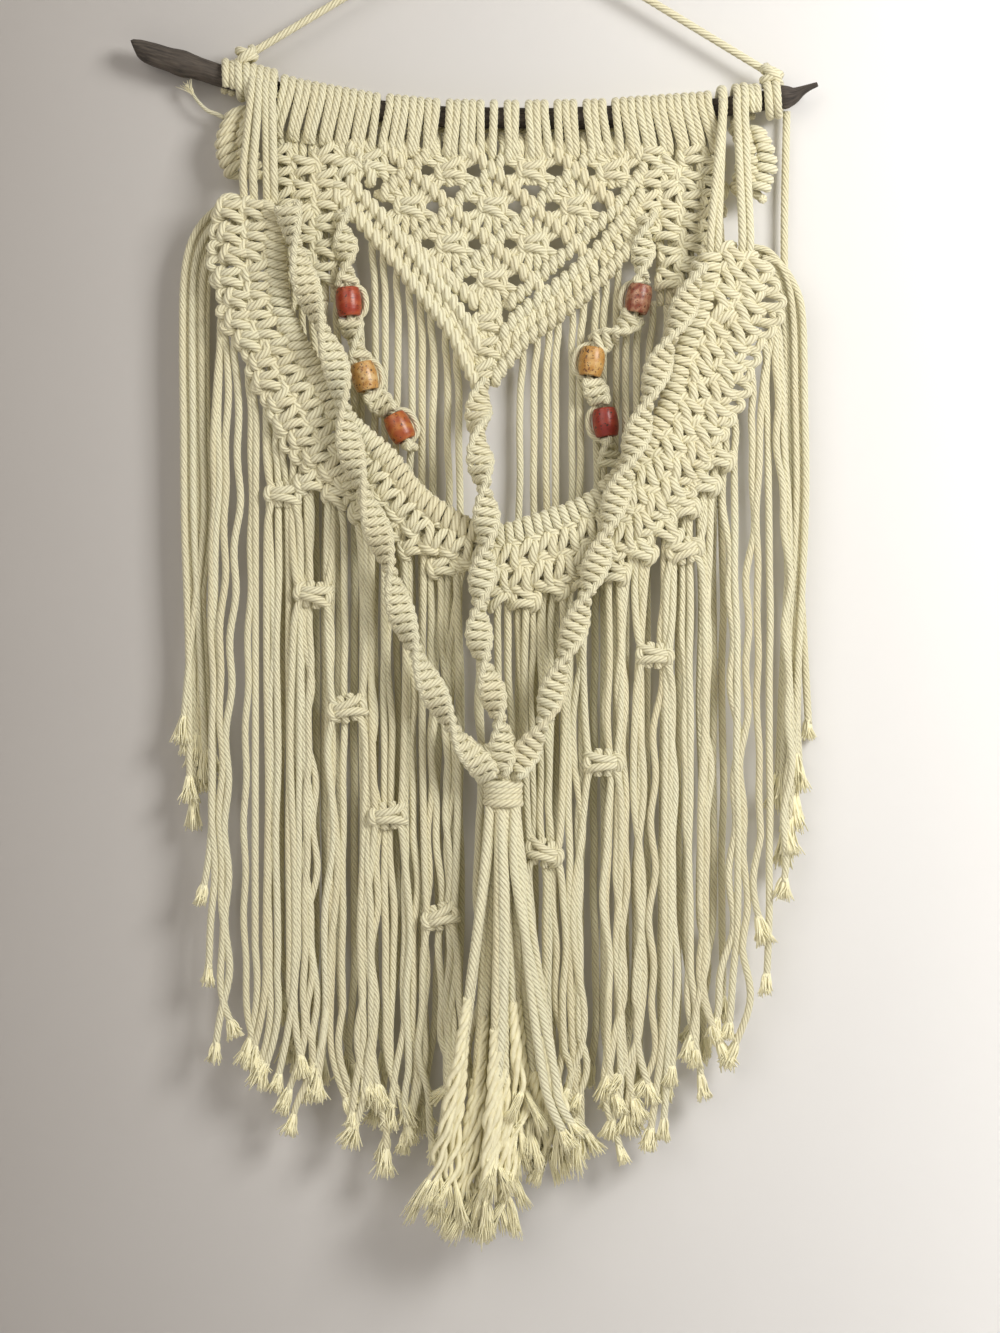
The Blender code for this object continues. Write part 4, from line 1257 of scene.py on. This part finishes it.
def tassel():
    """Cords bound at the wrap. Most open at their lower end into three wavy strands, which comb out
    into fibres; those at the left open highest and hang lowest."""
    top, count, golden = -449.0, 23, 0.618
    lowest, highest = -652, -585
    stock, loose, ends, brushes = Stock(), Stock(), Stock(), Stock()
    whole, opened = [], []
    for number in range(count):
        share = (number * golden) % 1.0
        x = -29 + 65 * share + chance.normal(0, 1.0)
        left = x < 8
        if left:
            z = -628 - 22 * math.exp(-((x + 13) / 10) ** 2) + chance.normal(0, 7)
        else:
            z = -608 + 14 * math.exp(-((x - 24) / 9) ** 2) * chance.uniform(-1.5, 0.2) + chance.normal(0, 8)
        cut = chance.uniform(0.5, 0.8) if left else chance.uniform(0.6, 0.88)
        z = min(max(z, lowest), highest)
        drop = top - z
        t = np.linspace(0, 1, 60)
        start = 3.5 + (x - 3) * 0.2
        deep = -7.5 + 12.5 * (number % 4) / 3
        p, q = chance.uniform(0, 6.28, 2)
        wander = chance.normal(0, 2.2) * np.sin(4.0 * t + p) * np.minimum(1, 5 * t)
        line = np.stack([
            start + (x - start) * (0.25 * t + 0.75 * t**1.5) + wander,
            GATHER_Y + deep * np.minimum(1, 0.35 + 2.2 * t) + 0.6 * np.sin(5 * t + q),
            top - drop * t,
        ], 1)
        (opened if left or number % 4 else whole).append((line, cut))
    path = hung(stock, ended([line for line, _ in whole]), 2.2)
    frayed(ends, *end_of(path))
    uppers, plies = [], []
    for line, cut in opened:
        at = int(cut * len(line))
        uppers.append(line[:at + 3])
        rest = even(line[at:], 50)
        t = np.linspace(0, 1, 50)[:, None]
        far = run(rest)[:, None]
        first = chance.uniform(0, 6.28)
        for ply in range(3):
            angle = first + 2 * np.pi * ply / 3 - 2 * np.pi * far / (15.0 + 12 * t)
            apart = 1.2 + 1.9 * t * chance.uniform(0.3, 1.2)
            p, q = chance.uniform(0, 6.28, 2)
            stray = 1.1 * t * np.sin(2 * np.pi * far / chance.uniform(15, 26) + p)
            forward = 0.8 * apart * np.sin(angle + 0.1 * q)
            plies.append(rest + (apart * np.cos(angle) + stray) * ALONG_X - forward * FRONT)
    hung(stock, uppers, 2.3, taper=([0, 0.85, 1], [1, 1, 0.6]))
    path = rope(loose, plies, 1.45, step=1.5, lay=7.0, sides=8, taper=([0, 0.5, 1], [0.9, 1.15, 0.8]))
    frayed(brushes, *end_of(path), long=20.0, spread=0.15, count=36, root=1.2, thick=0.44)
    for made, coat, name, node in (
        (stock, COTTON, "tassel_cords", "tassel_cord_ends"),
        (loose, STRAND, "tassel_strands", "tassel_unlaid"),
    ):
        piece = made.finish(name, coat, node, body="")
        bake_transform(piece)
    ends.finish("tassel_cord_brushes", FIBRE, "tassel_cord_ends", body="tassel", replaces=False)
    brushes.finish("tassel_strand_brushes", FIBRE, "tassel_unlaid", body="tassel", replaces=False)


branch()
lark_heads()
hanging_cord()
v_panel()
outer_lattices()
side_scallops()
beaded_sinnets()
swag()
suspension()
spirals()
gathering()
back_fringe()
front_fringe()
fringe_knots()
side_bunches()
free_ends()
tassel()


# ---------------------------------------------------------------- stage, light and camera

def plane(name, corners, coat):
    """One flat face, for the wall or the floor."""
    mesh = bpy.data.meshes.new(name)
    mesh.from_pydata([tuple(c) for c in corners], [], [(0, 1, 2, 3)])
    mesh.materials.append(coat)
    put(name, mesh)


def wall_paint():
    """Matt paint, darker towards the left: painted shade that stands in for the light's fall-off across the
    wall.
    It is see-through from behind and stops no light from there, so that the back of the hanging can be looked
    at."""
    coat = Coat("wall_paint", Roughness=0.9)
    across = Value(coat, coat.node("ShaderNodeSeparateXYZ", {}, {0: coat.where()}).socket.node.outputs[0])
    patch = coat.noise(coat.where(), 3.0, 2.0)
    # Painted shade: the paint goes from dark at the left to pale at the right, standing in for the light's
    # fall-off across the wall.
    share = coat.maths("ADD", across * 1.5 + patch * 0.1, 0.42, True)
    coat.colour(coat.blend(share, (0.375, 0.348, 0.325, 1), (0.93, 0.925, 0.915, 1)))
    behind = coat.node("ShaderNodeNewGeometry", {}, {}, "Backfacing")
    clear = coat.node("ShaderNodeBsdfTransparent", {}, {})
    shadow = coat.node("ShaderNodeLightPath", {}, {}, "Is Shadow Ray")
    behind = coat.maths("MAXIMUM", behind, shadow)
    paint = Value(coat, coat.shader.outputs[0])
    mixed = coat.node("ShaderNodeMixShader", {}, {0: behind, 1: paint, 2: clear})
    coat.set(coat.tree.nodes["Material Output"].inputs["Surface"], mixed)
    return coat.material


def floor_paint():
    """Pale floor with a faint mottle."""
    coat = Coat("floor_paint", Roughness=0.8)
    coat.colour(coat.blend(coat.noise(coat.where(), 2.0), (0.60, 0.58, 0.58, 1), (0.64, 0.62, 0.61, 1)))
    return coat.material


WALL_Y = 0.012
FLOOR_Z = -0.79
plane("wall", [(-4, WALL_Y, FLOOR_Z), (4, WALL_Y, FLOOR_Z), (4, WALL_Y, 3), (-4, WALL_Y, 3)], wall_paint())
plane("floor", [(-4, -5, FLOOR_Z), (4, -5, FLOOR_Z), (4, 3, FLOOR_Z), (-4, 3, FLOOR_Z)], floor_paint())


def area_light(name, place, target, size, power, colour):
    """A square light at place that faces the target."""
    lamp = bpy.data.lights.new(name, "AREA")
    lamp.size = size
    lamp.energy = power
    lamp.color = colour
    made = put(name, lamp)
    made.location = place
    way = np.array(target) - np.array(place)
    made.rotation_euler = (
        math.acos(-way[2] / np.linalg.norm(way)), 0.0, math.atan2(way[1], way[0]) - math.pi / 2,
    )


# Each light's place, target, size, power and colour
area_light("key", (0.78, -0.86, 0.14), (0.05, 0.0, -0.35), 0.5, 13.4, (1.0, 0.99, 0.965))
area_light("fill", (-0.9, -1.7, 0.4), (0.0, 0.0, -0.4), 1.6, 16.0, (1.0, 0.955, 0.89))
area_light("rear", (-0.6, 2.0, 0.3), (0.0, 0.0, -0.35), 1.4, 12.0, (1.0, 0.97, 0.93))
world = bpy.data.worlds.new("studio")
world.use_nodes = True
world.node_tree.nodes["Background"].inputs["Color"].default_value = (1.0, 0.93, 0.84, 1)
world.node_tree.nodes["Background"].inputs["Strength"].default_value = 0.1
bpy.context.scene.world = world

bpy.context.scene.view_settings.view_transform = "Standard"

lens = bpy.data.cameras.new("camera")
lens.lens = 65.0
lens.sensor_width = 36.0
lens.sensor_fit = "AUTO"
camera = put("camera", lens)
camera.location = (0.002, -1.2134, -0.380)
camera.rotation_euler = (math.pi / 2, 0.0, 0.0)
bpy.context.scene.camera = camera
